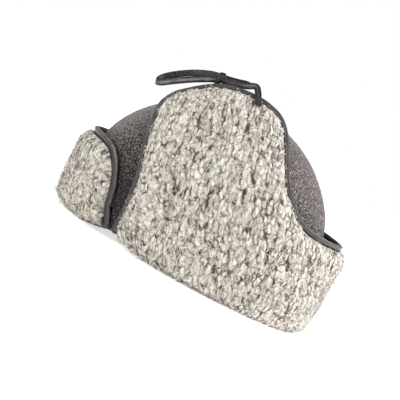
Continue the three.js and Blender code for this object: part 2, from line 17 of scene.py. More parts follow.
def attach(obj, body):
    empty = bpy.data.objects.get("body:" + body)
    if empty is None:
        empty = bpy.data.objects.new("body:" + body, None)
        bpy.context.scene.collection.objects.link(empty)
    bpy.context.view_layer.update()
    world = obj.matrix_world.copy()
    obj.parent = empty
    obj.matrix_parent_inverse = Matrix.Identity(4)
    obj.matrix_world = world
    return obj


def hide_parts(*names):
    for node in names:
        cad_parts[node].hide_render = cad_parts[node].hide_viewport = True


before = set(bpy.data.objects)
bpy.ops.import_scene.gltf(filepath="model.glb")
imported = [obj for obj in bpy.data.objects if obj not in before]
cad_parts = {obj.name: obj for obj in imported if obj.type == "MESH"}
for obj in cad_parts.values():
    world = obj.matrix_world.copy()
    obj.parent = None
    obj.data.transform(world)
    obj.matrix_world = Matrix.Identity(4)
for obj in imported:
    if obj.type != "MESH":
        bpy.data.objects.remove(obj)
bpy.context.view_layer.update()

MM = 0.001


def new_object(name, data):
    """An object at the origin that holds a mesh, a lamp or a camera, in the scene."""
    made = bpy.data.objects.new(name, data)
    bpy.context.scene.collection.objects.link(made)
    return made


# %% [markdown]
# ## Camera
# The photo looks at the hat's left side from just above the level of the rim, and the hat leans
# clockwise in it. The hat itself stands level here, so the camera is rolled instead of the hat.

# %% Camera
AIM = Vector((-0.0098, 0.0, 0.064))
CAMERA_DISTANCE = 1.3
CAMERA_ELEVATION = math.radians(4.6)
CAMERA_ROLL = math.radians(29.46)
CAMERA_LENS = 124.5

camera_data = bpy.data.cameras.new("photo_camera")
camera_data.lens = CAMERA_LENS
camera_data.sensor_width = 36.0
camera_data.clip_start = 0.05
camera = new_object("photo_camera", camera_data)
back = Vector((0.0, -math.cos(CAMERA_ELEVATION), math.sin(CAMERA_ELEVATION)))
right = Vector((1.0, 0.0, 0.0))
facing = Matrix((right, back.cross(right), back)).transposed().to_4x4()
camera.matrix_world = (
    Matrix.Translation(AIM + back * CAMERA_DISTANCE) @ facing @ Matrix.Rotation(CAMERA_ROLL, 4, "Z")
)
bpy.context.scene.camera = camera
print("camera at", [round(v, 3) for v in camera.matrix_world.translation])

# %% [markdown]
# ## Small tools for surfaces
# Every new piece is a grid of points worked out at once with numpy. These few helpers turn such
# grids into meshes, blend numbers smoothly, and make uneven fields that are the same on each run.

# %% Number helpers
# How many random numbers an uneven field has each way before it repeats.
LATTICE = 64


def smooth(value, low, high):
    """A number from 0 below low to 1 above high, with a soft start and end: 3t² - 2t³."""
    t = np.clip((value - low) / (high - low), 0, 1)
    return t * t * (3 - 2 * t)


def mix(a, b, share):
    """a where share is 0, b where it is 1, and a straight blend between."""
    return a + (b - a) * share


def unit(vectors):
    """Each vector divided by its own length."""
    return vectors / np.maximum(np.linalg.norm(vectors, axis=-1, keepdims=True), 1e-9)


def uneven(u, v, cell_u, cell_v, seed):
    """A smooth field between -1 and 1: a random number at each corner of a lattice of cells,
    blended with 3t² - 2t³ inside each cell."""
    lattice = np.random.default_rng(seed).uniform(-1, 1, (LATTICE, LATTICE))
    x, y = np.asarray(u) / cell_u, np.asarray(v) / cell_v
    i, j = np.floor(x).astype(int), np.floor(y).astype(int)
    s, t = smooth(x - i, 0, 1), smooth(y - j, 0, 1)
    i, next_i, j, next_j = i % LATTICE, (i + 1) % LATTICE, j % LATTICE, (j + 1) % LATTICE
    low = mix(lattice[i, j], lattice[next_i, j], s)
    high = mix(lattice[i, next_j], lattice[next_i, next_j], s)
    return mix(low, high, t)


# %% Mesh helpers


def grid_faces(columns, rows, ring=False):
    """Four-sided faces of a grid stored column by column. Its last row joins its first, and in a ring
    its last column joins its first as well."""
    c = np.arange(columns if ring else columns - 1)[:, None]
    r = np.arange(rows)[None, :]
    here, after, above = c * rows, (c + 1) % columns * rows, (r + 1) % rows
    return np.stack([here + r, after + r, after + above, here + above], axis=-1).reshape(-1, 4)


def tube_faces(columns, rows):
    """Faces of a grid whose rows go round, with a flat cap on its first and its last column."""
    last = (columns - 1) * rows
    return [grid_faces(columns, rows), [list(range(rows))[::-1], list(range(last, last + rows))]]


def add_piece(name, points, faces, material, replaces, values=None, mirror=False, weld=False):
    """Makes one mesh from points in millimetres and groups of faces, and lets it ride on the hat. All
    but its caps are smooth. values holds a number or a vector for each point, by name, which the
    materials read. mirror turns a piece of the left side into one of the right."""
    points = np.reshape(points, (-1, 3)) * [1, -1 if mirror else 1, 1]
    all_faces = [face for group in faces for face in np.asarray(group).tolist()]
    if mirror:
        all_faces = [face[::-1] for face in all_faces]
    mesh = bpy.data.meshes.new(name)
    mesh.from_pydata((points * MM).tolist(), [], all_faces)
    for key, value in (values or {}).items():
        value = np.asarray(value, np.float32)
        kind, field = ("FLOAT", "value") if value.size == len(points) else ("FLOAT_VECTOR", "vector")
        mesh.attributes.new(key, kind, "POINT").data.foreach_set(field, value.ravel())
    if weld:
        welded = bmesh.new()
        welded.from_mesh(mesh)
        bmesh.ops.remove_doubles(welded, verts=welded.verts, dist=1e-6)
        welded.to_mesh(mesh)
        welded.free()
    mesh.polygons.foreach_set("use_smooth", [len(p.vertices) < 5 for p in mesh.polygons])
    mesh.materials.append(material)
    piece = new_object(name, mesh)
    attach(piece, "root")
    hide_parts(*replaces)
    print(f"{name}: {sum(len(p.vertices) - 2 for p in mesh.polygons)} triangles")
    return piece


# %% [markdown]
# ## Shader groups
# Leather and wool come back on many pieces. Each effect is a group built once: grain gives the
# height and tone of pebbled leather, and curls gives the small lumps and creases of wool. Image
# textures could do it, but a procedure stays sharp at any distance.

# %% Group helpers


class Nodes:
    """Adds shader nodes and joins them with short calls."""

    def __init__(self, tree):
        self.tree = tree

    def fill(self, node, values):
        """Sets a node's sockets, by name or number, to values, or joins them to other sockets."""
        for key, value in values.items():
            if isinstance(value, bpy.types.NodeSocket):
                self.tree.links.new(value, node.inputs[key])
            else:
                node.inputs[key].default_value = value

    def add(self, kind, settings=None, **inputs):
        """One node. settings are its own options, and inputs are its sockets' values by their names
        or, as i0, i1 and so on, by their numbers."""
        node = self.tree.nodes.new(kind)
        for key, value in (settings or {}).items():
            setattr(node, key, value)
        self.fill(node, {int(key[1:]) if key[1:].isdigit() else key: inputs[key] for key in inputs})
        return node

    def attribute(self, name, output="Fac"):
        """A value that each point of a piece carries."""
        return self.add("ShaderNodeAttribute", {"attribute_name": name}).outputs[output]

    def math(self, operation, *values):
        """The result of one sum on numbers."""
        node = self.add("ShaderNodeMath", {"operation": operation})
        self.fill(node, dict(enumerate(values)))
        return node.outputs[0]

    def plus(self, a, b, share):
        """a + share·b."""
        return self.math("MULTIPLY_ADD", b, share, a)

    def scaled(self, vector, by):
        """A vector with each of its numbers multiplied."""
        return self.add("ShaderNodeVectorMath", {"operation": "MULTIPLY"}, i0=vector, i1=by).outputs[0]

    def pushed(self, vector, scale, reach):
        """A vector moved by a cloudy noise: vector + cloud·reach."""
        cloud = self.add("ShaderNodeTexNoise", Vector=vector, Scale=scale, Detail=2.0).outputs["Color"]
        added = {"operation": "MULTIPLY_ADD"}
        return self.add("ShaderNodeVectorMath", added, i0=cloud, i1=reach, i2=vector).outputs[0]

    def cells(self, vector, scale, dimensions="3D"):
        """A Voronoi pattern: how far the nearest crease is, how far the nearest middle is, and a random
        number for each cell."""
        flat = {"voronoi_dimensions": dimensions}
        edges = {"feature": "DISTANCE_TO_EDGE", **flat}
        crease = self.add("ShaderNodeTexVoronoi", edges, Vector=vector, Scale=scale).outputs["Distance"]
        middle = self.add("ShaderNodeTexVoronoi", flat, Vector=vector, Scale=scale).outputs
        tone = self.add("ShaderNodeSeparateColor", Color=middle["Color"]).outputs[0]
        return crease, middle["Distance"], tone

    def between(self, value, low, high, to_low=0.0, to_high=1.0):
        """value stretched from low..high to to_low..to_high, softly at both ends."""
        node = self.add("ShaderNodeMapRange", {"interpolation_type": "SMOOTHSTEP"}, Value=value)
        self.fill(node, {"From Min": low, "From Max": high, "To Min": to_low, "To Max": to_high})
        return node.outputs[0]

    def mixed(self, factor, a, b, blend="MIX"):
        """Two colours mixed by a factor."""
        settings = {"data_type": "RGBA", "blend_type": blend}
        return self.add("ShaderNodeMix", settings, i0=factor, i6=a, i7=b).outputs[2]

    def noise(self, vector, scale, detail=2.0, roughness=0.5, distortion=0.0):
        """A cloudy number round 0.5."""
        node = self.add("ShaderNodeTexNoise", Vector=vector, Scale=scale, Detail=detail)
        self.fill(node, {"Roughness": roughness, "Distortion": distortion})
        return node.outputs["Fac"]


def new_group(name, inputs, outputs):
    """An empty shader group with inputs of named kinds and numbers as outputs. Returns the group, its
    tools, its input sockets and its output node."""
    group = bpy.data.node_groups.new(name, "ShaderNodeTree")
    for socket, kind in inputs.items():
        group.interface.new_socket(socket, in_out="INPUT", socket_type=kind)
    for socket in outputs:
        group.interface.new_socket(socket, in_out="OUTPUT", socket_type="NodeSocketFloat")
    nodes = Nodes(group)
    return group, nodes, nodes.add("NodeGroupInput").outputs, nodes.add("NodeGroupOutput")


def use_group(nodes, group, values):
    """Places a group in a material with its own values."""
    node = nodes.add("ShaderNodeGroup", {"node_tree": group})
    nodes.fill(node, values)
    return node.outputs


# %% [markdown]
# Leather grain is a field of small pebbles with cracks between them. A Voronoi pattern's distance
# to the edge gives both, and a finer noise roughens the pebbles' tops.

# %% Grain group
GRAIN_WANDER = (0.0012,) * 3
GRAIN_INPUTS = {"Vector": "NodeSocketVector", "Pebbles per metre": "NodeSocketFloat"}

grain, nodes, given, made = new_group("leather_grain", GRAIN_INPUTS, ("Height", "Crack", "Tone"))
shifted = nodes.pushed(given["Vector"], 300.0, GRAIN_WANDER)
edge, _, tone = nodes.cells(shifted, given["Pebbles per metre"])
top = nodes.math("MULTIPLY", nodes.between(edge, 0.0, 0.3), 0.8)
nodes.fill(made, {
    "Height": nodes.plus(top, nodes.noise(given["Vector"], 2400.0), 0.25),
    "Crack": nodes.between(edge, 0.06, 0.3, 1.0, 0.0),
    "Tone": tone,
})
print("group", grain.name)

# %% [markdown]
# Wool lies in small curled lumps with dark creases between them. A flat Voronoi pattern, longer than
# wide and pushed about by noise, gives both. Finer noise makes the creases ragged and gives the
# fibres, and noise stretched along the pile gives the long partings. Every point carries its own
# coordinates for this in millimetres, in the attribute "strand", so that the pattern follows the lie
# of the wool.

# %% Wool group
WOOL_CELL = (1 / 3.3, 1 / 5.8, 0.0)
WOOL_WANDER = (4.5, 5.5, 0.0)
CURL_STRETCH = (1.0, 0.6, 1.0)
PARTING_STRETCH = (1.0, 0.26, 1.0)
WOOL_OUTPUTS = ("Height", "Streak", "Curl", "Crease", "Tone")

curls, nodes, given, made = new_group("wool_curls", {"Strand": "NodeSocketVector"}, WOOL_OUTPUTS)
strand = given["Strand"]
lumps = nodes.scaled(nodes.pushed(strand, 0.28, WOOL_WANDER), WOOL_CELL)
edge, middle, tone = nodes.cells(lumps, 1.0, "2D")
along_curl = nodes.scaled(strand, CURL_STRETCH)
curl = nodes.noise(along_curl, 0.55, 2.0, 0.6, 1.4)
coarse = nodes.noise(along_curl, 1.5, 2.0, 0.6)
ragged = nodes.plus(edge, nodes.math("SUBTRACT", curl, 0.5), 0.35)
parting = nodes.between(nodes.noise(nodes.scaled(strand, PARTING_STRETCH), 0.4), 0.33, 0.47, 1.0, 0.0)
crease = nodes.math("MAXIMUM", nodes.between(ragged, -0.15, 0.36, 0.85, 0.0), parting)
height = nodes.math("MULTIPLY", nodes.between(middle, 0.0, 0.8, 1.0, 0.0), 0.7)
for part, share in ((curl, 0.5), (crease, -0.2), (coarse, 0.1)):
    height = nodes.plus(height, part, share)
nodes.fill(made, {
    "Height": height,
    "Streak": nodes.between(coarse, 0.32, 0.68),
    "Curl": nodes.between(curl, 0.36, 0.64),
    "Crease": crease,
    "Tone": tone,
})
print("group", curls.name)

# %% [markdown]
# ## Materials
# Colours are what the photo shows, as linear values. Sheepskin leather is grey-brown with a satin
# face, the bindings and the lace are smoother and darker, and the wool is a warm light grey. Some
# light is painted into the colours as well: glints on the crown's pebbles, shade beside the flaps,
# highlights and shade on the bindings and the lace, and shade in the wool's gaps and creases.

# %% Material helper


def new_material(name):
    """A material with one Principled shader. Returns it, its tools and the shader."""
    material = bpy.data.materials.new(name)
    material.use_nodes = True
    material.node_tree.nodes.clear()
    nodes = Nodes(material.node_tree)
    shader = nodes.add("ShaderNodeBsdfPrincipled")
    nodes.add("ShaderNodeOutputMaterial", Surface=shader.outputs[0])
    return material, nodes, shader


def bumped(nodes, height, distance):
    """The normal that a height gives through a Bump node."""
    return nodes.add("ShaderNodeBump", Height=height, Distance=distance, Strength=1.0).outputs[0]


# %% Crown leather
CROWN_GRAIN_AND_GLINT = (0.35, 0.30, 0.286, 1)
CROWN_COLOUR = (0.07, 0.056, 0.052, 1)
CROWN_DARK = (0.008, 0.0065, 0.006, 1)
CROWN_PEBBLES = 520.0

crown_leather, nodes, shader = new_material("crown_leather")
place = nodes.add("ShaderNodeTexCoord").outputs["Object"]
pebbles = use_group(nodes, grain, {"Vector": place, "Pebbles per metre": CROWN_PEBBLES})
# Painted glints: each pebble's top is painted light, some more than others, together with the grain's own
# tone.
light = nodes.math("MULTIPLY", pebbles["Height"], nodes.between(pebbles["Tone"], 0.0, 1.0, 0.15, 1.1))
tone = nodes.mixed(nodes.between(light, 0.1, 0.9), CROWN_COLOUR, CROWN_GRAIN_AND_GLINT)
cloud = nodes.noise(place, 22.0, 3.0)
tone = nodes.mixed(nodes.between(cloud, 0.35, 0.7, 0.0, 0.35), tone, CROWN_COLOUR)
height = nodes.add("ShaderNodeSeparateXYZ", Vector=place).outputs[2]
# Painted light: the cracks are painted fainter towards the top of the crown, standing in for its sheen there.
crack = nodes.math("MULTIPLY", pebbles["Crack"], nodes.between(height, 0.07, 0.15, 0.97, 0.3))
tone = nodes.mixed(crack, tone, CROWN_DARK)
# Painted shade: the leather is painted near black beside the flaps' edges and low on the crown, where the
# flaps shade it.
tone = nodes.mixed(nodes.math("MULTIPLY", nodes.attribute("painted_shade"), 0.96), tone, CROWN_DARK)
nodes.fill(shader, {
    "Base Color": tone,
    "Roughness": nodes.between(pebbles["Height"], 0.0, 1.0, 0.75, 0.34),
    "Specular IOR Level": 0.12,
    "Sheen Weight": 0.7,
    "Sheen Roughness": 0.28,
    "Sheen Tint": (1.0, 0.94, 0.94, 1),
    "Normal": bumped(nodes, pebbles["Height"], 0.0008),
})

# %% Binding leather and lace leather
LEATHER_PAINTED_HIGHLIGHT = (0.30, 0.28, 0.27, 1)
LEATHER_PAINTED_SHADE = (0.006, 0.005, 0.005, 1)


def smooth_leather(name, colour, dark, roughness, pebbles_per_metre, depth):
    """Dark leather with a fine grain, faint clouds and a satin face. Its point attribute paints a
    highlight where it is over 0, and paints shade dark where it is under 0."""
    material, nodes, shader = new_material(name)
    place = nodes.add("ShaderNodeTexCoord").outputs["Object"]
    painted_light_and_shade = nodes.attribute("painted_light_and_shade")
    pebbles = use_group(nodes, grain, {"Vector": place, "Pebbles per metre": pebbles_per_metre})
    cloud = nodes.noise(place, 90.0, 3.0)
    tone = nodes.mixed(nodes.between(cloud, 0.3, 0.7), dark, colour)
    tone = nodes.mixed(nodes.math("MULTIPLY", pebbles["Crack"], 0.35), tone, dark)
    # Painted highlight, in patches, where the point attribute is over 0, and painted shade, near black, where
    # it is under 0.
    patchy = nodes.between(nodes.noise(place, 160.0, 3.0), 0.3, 0.6, 0.2, 0.6)
    tone = nodes.mixed(nodes.math("MULTIPLY", nodes.between(painted_light_and_shade, 0.15, 1.0), patchy), tone, LEATHER_PAINTED_HIGHLIGHT)
    tone = nodes.mixed(nodes.between(painted_light_and_shade, -0.1, -1.0, 0.0, 0.9), tone, LEATHER_PAINTED_SHADE)
    nodes.fill(shader, {
        "Base Color": tone,
        "Roughness": nodes.between(cloud, 0.25, 0.75, roughness - 0.06, roughness + 0.08),
        "Specular IOR Level": 0.35,
        "Normal": bumped(nodes, pebbles["Height"], depth),
    })
    return material


binding_leather = smooth_leather(
    "binding_leather", (0.056, 0.048, 0.045, 1), (0.028, 0.024, 0.023, 1), 0.34, 1100.0, 0.00012
)
lace_leather = smooth_leather(
    "lace_leather", (0.022, 0.017, 0.017, 1), (0.007, 0.005, 0.005, 1), 0.28, 1300.0, 0.00012
)
skin_leather = smooth_leather(
    "skin_leather", (0.075, 0.064, 0.059, 1), (0.045, 0.038, 0.035, 1), 0.6, 700.0, 0.0002
)

# %% Wool
WOOL_LIGHT = (0.71, 0.668, 0.604, 1)
WOOL_MIDDLE = (0.505, 0.464, 0.404, 1)
WOOL_ROOT_AND_GAP_SHADE = (0.082, 0.064, 0.05, 1)
WOOL_GREENISH = (0.98, 1.0, 0.985, 1)
WOOL_PINKISH = (1.0, 0.965, 0.95, 1)

wool, nodes, shader = new_material("wool")
pattern = use_group(nodes, curls, {"Strand": nodes.attribute("strand", "Vector")})
# Painted shade: the wool is painted darker where it sinks between lumps, into creases and partings and down
# the flanks of each small lump, as the shade there.
depth = nodes.plus(nodes.attribute("painted_relief_shade"), nodes.math("SUBTRACT", pattern["Height"], 0.5), 0.3)
depth = nodes.plus(depth, pattern["Crease"], -0.6)
tone = nodes.mixed(nodes.between(depth, 0.05, 0.52), WOOL_ROOT_AND_GAP_SHADE, WOOL_MIDDLE)
tone = nodes.mixed(nodes.between(depth, 0.42, 1.0), tone, WOOL_LIGHT)
shade = nodes.between(nodes.attribute("lock"), 0.0, 1.0, 0.7, 0.82)
for part, share in (("Streak", 0.07), ("Curl", 0.06), ("Tone", 0.07)):
    shade = nodes.plus(shade, pattern[part], share)
shade = nodes.add("ShaderNodeCombineColor", i0=shade, i1=shade, i2=shade).outputs[0]
tone = nodes.mixed(1.0, tone, shade, "MULTIPLY")
cloud = nodes.noise(nodes.add("ShaderNodeTexCoord").outputs["Object"], 38.0)
for full_at, tint in ((0.72, WOOL_GREENISH), (0.3, WOOL_PINKISH)):
    tone = nodes.mixed(nodes.between(cloud, 0.5, full_at), tone, nodes.mixed(1.0, tone, tint, "MULTIPLY"))
nodes.fill(shader, {
    "Base Color": tone,
    "Roughness": 0.9,
    "Specular IOR Level": 0.2,
    "Sheen Weight": 0.25,
    "Sheen Roughness": 0.5,
    "Normal": bumped(nodes, pattern["Height"], 0.001),
})
print("materials", [m.name for m in bpy.data.materials])

# %% [markdown]
# ## The lace
# One flat strap comes out of the wool of the left flap, runs forward to the knot, turns round as a
# loop, goes back through the knot and crosses the top of the crown to the right flap. Its route is
# a smooth curve through listed points, and each point says which way the broad face looks.

# %% Lace route
LACE_WIDTH = 6.0
LACE_THICKNESS = 2.2
# Point of the route, and the light painted there along the strap's middle and its two edges:
# painted highlights on the loop's near side, and painted shade, near black, on its far side.
LACE_PAINTED_LIGHT = np.array([
    (0, 0.2), (4, 0.35), (7, 0.1), (8, 0.4), (13, 0.45), (15, -0.6), (20, -0.9), (24, -0.5), (27, 0),
])
KNOT_AT = np.array([-46.0, -44.0, 172.0])

# x, y and z of each point in millimetres, then the direction of the strap's broad face.
LACE_ROUTE = np.array([
    (-6.2, -70, 168.2, 0.3, -1, 0.7),
    (-9.3, -63.6, 173.6, -0.1, -0.9, 0.8),
    (-12.1, -55.5, 178.2, -0.4, -0.7, 0.6),
    (-16, -50.5, 181.6, 0, -1, 0.4),
    (-23.5, -48.5, 178, 0, -1, 0.3),
    (-32.5, -47.5, 175.2, 0, -1, 0.1),
    (-40.5, -46.5, 173, 0, -1, 0.1),
    (-47.5, -46, 171, 0, -1, 0.1),
    (-53.5, -46.5, 168.3, 0, -1, 0.1),
    (-60.5, -48.8, 164.4, 0, -1, 0.1),
    (-68.5, -50.5, 159.6, 0, -1, 0.1),
    (-76.5, -51.5, 154.3, 0, -1, 0.1),
    (-84.5, -51, 148.7, -0.1, -1, 0.1),
    (-92.5, -47.5, 143, -0.5, -1, 0),
    (-96.9, -41.5, 141.9, -1, 0, -0.3),
    (-94.7, -35.5, 147, -0.5, 1, -0.3),
    (-88.5, -32.5, 153.4, -0.1, 1, -0.3),
    (-80.5, -31, 159.4, 0, 1, -0.3),
    (-71.5, -31.5, 165.2, 0, 1, -0.3),
    (-62.5, -34.5, 169.6, 0, 1, -0.2),
    (-54.5, -39.5, 172.6, 0, 1, -0.1),
    (-47.5, -41.5, 173.8, 0, 1, 0),
    (-40.5, -41.5, 175.2, 0, 1, 0.1),
    (-32.5, -41, 177.2, 0, 1, 0.2),
    (-25, -39, 179.6, 0.2, 1, 0.5),
    (-20, -33, 181.4, 0.3, 0.4, 1),
    (-17, -22, 182.4, 0.1, 0.2, 1),
    (-14.5, -2, 181.4, 0.1, 0.1, 1),
    (-13, 22, 180.2, 0, 0.1, 1),
    (-11.5, 44, 179, 0, 0.4, 1),
    (-10, 59.2, 176.2, 0.1, 1, 1),
    (-8.8, 69.6, 168.6, 0.1, 1, 0.6),
])


def spline(points, t):
    """A smooth curve through points: between two of them it is the cubic whose slope at each one is
    half the step between its neighbours. t counts points from 0."""
    points = np.asarray(points, float)
    last = len(points) - 1
    i = np.clip(np.floor(t).astype(int), 0, last - 1)
    s = (t - i)[:, None]
    p0, p1, p2, p3 = (points[np.clip(i + k, 0, last)] for k in (-1, 0, 1, 2))
    return (
        p1 + 0.5 * s * (p2 - p0) + s**2 * (p0 - 2.5 * p1 + 2 * p2 - 0.5 * p3)
        + s**3 * (1.5 * (p1 - p2) + 0.5 * (p3 - p0))
    )


def even_steps(points, count):
    """Places along a spline, counted in points, that are an equal length apart."""
    t = np.linspace(0, len(points) - 1, 20 * len(points))
    path = spline(points, t)[:, :3]
    length = np.concatenate([[0], np.cumsum(np.linalg.norm(np.diff(path, axis=0), axis=1))])
    return np.interp(np.linspace(0, length[-1], count), length, t), length[-1]


# %% [markdown]
# The strap is a flat bar with rounded edges, swept along that route. The same sweep makes the knot
# and the bindings.

# %% Swept profile
LACE_STEPS, LACE_SIDES = 300, 16


def swept(path, across, out, profile):
    """A closed profile at each step of a path: path + across·first number + out·second number."""
    return path[:, None] + across[:, None] * profile[..., :1] + out[:, None] * profile[..., 1:]


def flat_bar(width, thickness, power, count):
    """Outline of a flat bar with rounded edges: a circle whose cosine and sine are raised to a power."""
    turn = np.linspace(0, 2 * np.pi, count, endpoint=False)
    circle = np.stack([np.cos(turn), np.sin(turn)], axis=1)
    return np.sign(circle) * np.abs(circle) ** power * np.array([width, thickness]) / 2


lace_t, lace_length = even_steps(LACE_ROUTE, LACE_STEPS)
lace_line = spline(LACE_ROUTE, lace_t)
tangent = unit(np.gradient(lace_line[:, :3], axis=0))
face = lace_line[:, 3:]
face = unit(face - np.sum(face * tangent, axis=1, keepdims=True) * tangent)
bar = flat_bar(LACE_WIDTH, LACE_THICKNESS, 0.55, LACE_SIDES)
lace_points = swept(lace_line[:, :3], np.cross(tangent, face), face, bar)
# Painted highlights: lines along the strap's two edges and the middle of each broad face, with painted shade
# between them.
painted_highlight_lines = 0.5 + 0.5 * np.cos(4 * np.linspace(0, 2 * np.pi, LACE_SIDES, endpoint=False))[None, :]
face_painted_light = np.interp(lace_t, *LACE_PAINTED_LIGHT.T)[:, None]
lace_painted_light = np.where(face_painted_light < 0, face_painted_light, mix(-0.4, 2 * face_painted_light, painted_highlight_lines))
lace = add_piece(
    "lace", lace_points, tube_faces(LACE_STEPS, LACE_SIDES), lace_leather,
    ["tie_lace"], {"painted_light_and_shade": lace_painted_light},
)
print(f"lace: {lace_length:.0f} mm long")

# %% [markdown]
# The knot is the strap wrapped twice round itself. Each wrap is a ring of the same flat bar,
# leaning a little, and drawn tight.

# %% Knot
# How much each wrap leans, how far along the lace it is moved, and its radius, in millimetres.
KNOT_TURNS = ((0.42, -2.4, 4.6), (-0.38, 2.2, 4.8))
KNOT_FORWARD = np.array([-1.0, 0.0, -0.32])
KNOT_STEPS, KNOT_SIDES = 48, 12


def knot_wrap(lean, move, radius):
    """One ring of flat bar round the lace's direction, tilted by lean and moved along by move."""
    turn = np.linspace(0, 2 * np.pi, KNOT_STEPS + 1)[:-1, None]
    forward = unit(KNOT_FORWARD)
    side = unit(np.cross(forward, [0, 0, 1.0]))
    up = np.cross(side, forward)
    ring = radius * (np.cos(turn) * side * 0.82 + np.sin(turn) * up * 1.08)
    centre = KNOT_AT + ring + forward * (move + lean * radius * np.sin(turn))
    along = unit(np.roll(centre, -1, axis=0) - np.roll(centre, 1, axis=0))
    bar = flat_bar(LACE_WIDTH * 0.85, LACE_THICKNESS * 1.3, 0.7, KNOT_SIDES)
    return swept(centre, np.cross(along, unit(ring)), unit(ring), bar)


wrap_faces = grid_faces(KNOT_STEPS, KNOT_SIDES, ring=True)
knot = add_piece(
    "lace_knot", [knot_wrap(*row) for row in KNOT_TURNS],
    [wrap_faces + k * KNOT_STEPS * KNOT_SIDES for k in range(len(KNOT_TURNS))],
    lace_leather, ["tie_lace"],
)

# %% [markdown]
# ## The flap's face
# Both ear flaps and the front flap lie on one oval face that leans in towards the top. A table
# gives that face at a few heights, and a point on it is named by the length round the oval and the
# height. The outlines of the flaps are drawn as seen from the side.

# %% Flap tables
FLAP = {
    "z": [0, 12, 50, 90, 125, 150, 170, 190],
    "half_length": [112.8, 115.4, 120.8, 125, 118, 105, 94, 85],
    "half_width": [90.9, 93.2, 98, 97, 84, 67, 54, 43],
    "middle": [0.5, -1.3, -0.7, -0.7, -1.5, -2.5, -3, -3.5],
}
EAR_OUTLINE = {
    "x": [-60.7, -64.3, -66.5, -70, -75.5, -80, -83, -81.5, -74.5, -60.5, -46.5, -31.5,
          -12.5, 3.5, 17, 27.5, 35.3, 43.3, 51.5, 61.5, 73, 85.5, 99.5, 113.5],
    "z": [1, 26, 48, 68, 84, 103.5, 120, 131.5, 142.5, 155.5, 165.5, 171.5,
          174, 173, 168.6, 159.4, 148.3, 133.6, 120.8, 109.8, 100.6, 95, 93, 92.5],
}
FRONT_OUTLINE = {
    "x": [-65, -70.5, -75.3, -78.3, -83.5, -91, -101.5, -115.5],
    "z": [2, 13, 25, 38.6, 52, 65, 74.3, 77.4],
}
NECK_HEIGHT = 92
FRONT_HEIGHT = 77.6
FRONT_CORNER = 40
NOTCH_RISE, NOTCH_ARC, NOTCH_SPREAD, NOTCH_TOP = 6.5, 103, 25, 35
OUTLINE_STEPS = 8
ROUND_HEIGHT, ROUND_STEPS = 50.0, 720


def table_curve(z, column):
    """A column of the flap's table at any height: a cubic between rows, whose slope at a row is that
    of the line between its neighbours."""
    knots, values = np.asarray(FLAP["z"], float), np.asarray(FLAP[column], float)
    slopes = np.empty_like(values)
    slopes[1:-1] = (values[2:] - values[:-2]) / (knots[2:] - knots[:-2])
    slopes[0] = (values[1] - values[0]) / (knots[1] - knots[0])
    slopes[-1] = (values[-1] - values[-2]) / (knots[-1] - knots[-2])
    i = np.clip(np.searchsorted(knots, z, side="right") - 1, 0, len(knots) - 2)
    span = knots[i + 1] - knots[i]
    t = np.clip((z - knots[i]) / span, 0, 1)
    return (
        (2 * t**3 - 3 * t**2 + 1) * values[i] + (t**3 - 2 * t**2 + t) * span * slopes[i]
        + (3 * t**2 - 2 * t**3) * values[i + 1] + (t**3 - t**2) * span * slopes[i + 1]
    )


# Length round the reference oval, at ROUND_HEIGHT, for each of many angles from the forehead.
ROUND_ANGLES = np.linspace(0, np.pi, ROUND_STEPS + 1)
middles = (ROUND_ANGLES[1:] + ROUND_ANGLES[:-1]) / 2
speeds = np.hypot(
    table_curve(ROUND_HEIGHT, "half_length") * np.sin(middles),
    table_curve(ROUND_HEIGHT, "half_width") * np.cos(middles),
)
ROUND_LENGTHS = np.concatenate([[0], np.cumsum(speeds * np.pi / ROUND_STEPS)])
HALF_ROUND = ROUND_LENGTHS[-1]


def angle_of(arc):
    """Angle from the forehead at a length round the reference oval, positive towards the left ear."""
    return np.sign(arc) * np.interp(np.abs(arc), ROUND_LENGTHS, ROUND_ANGLES)


def notch_lift(arc, z):
    """How far the rim lifts between the flaps: a bell curve round the oval that fades with height."""
    bell = np.exp(-(((np.abs(arc) - NOTCH_ARC) / NOTCH_SPREAD) ** 2))
    return NOTCH_RISE * bell * (1 - smooth(z, 0, NOTCH_TOP))


def flap_point(arc, z):
    """The flap's leather face: an oval at each height, x = middle - length·cos, y = -width·sin."""
    lifted = z + notch_lift(arc, z)
    angle = angle_of(arc)
    x = table_curve(lifted, "middle") - table_curve(lifted, "half_length") * np.cos(angle)
    return np.stack([x, -table_curve(lifted, "half_width") * np.sin(angle), lifted], axis=-1)


def flap_outward(arc, z):
    """Which way the flap's thickness goes: square to the face, but level near the fold."""
    inside = np.clip(z, 1, 186)
    round_step = flap_point(arc + 0.5, inside) - flap_point(arc - 0.5, inside)
    up_step = flap_point(arc, inside + 0.5) - flap_point(arc, inside - 0.5)
    normal = unit(np.cross(round_step, up_step))
    angle = angle_of(arc)
    side = -(normal[..., 0] * np.cos(angle) + normal[..., 1] * np.sin(angle))
    normal = normal * np.where(side < 0, -1, 1)[..., None]
    normal[..., 2] *= smooth(z, 20, 95)
    return unit(normal)


# %% Cut edges


def outline_curve(outline, last_arc, last_height):
    """The outline's points as lengths round the oval and heights, with its last point added."""
    x, z = (np.asarray(outline[key], float) for key in ("x", "z"))
    cosine = (table_curve(z, "middle") - x) / table_curve(z, "half_length")
    arc = np.interp(np.arccos(cosine), ROUND_ANGLES, ROUND_LENGTHS)
    return np.column_stack([np.append(arc, last_arc), np.append(z, last_height)])


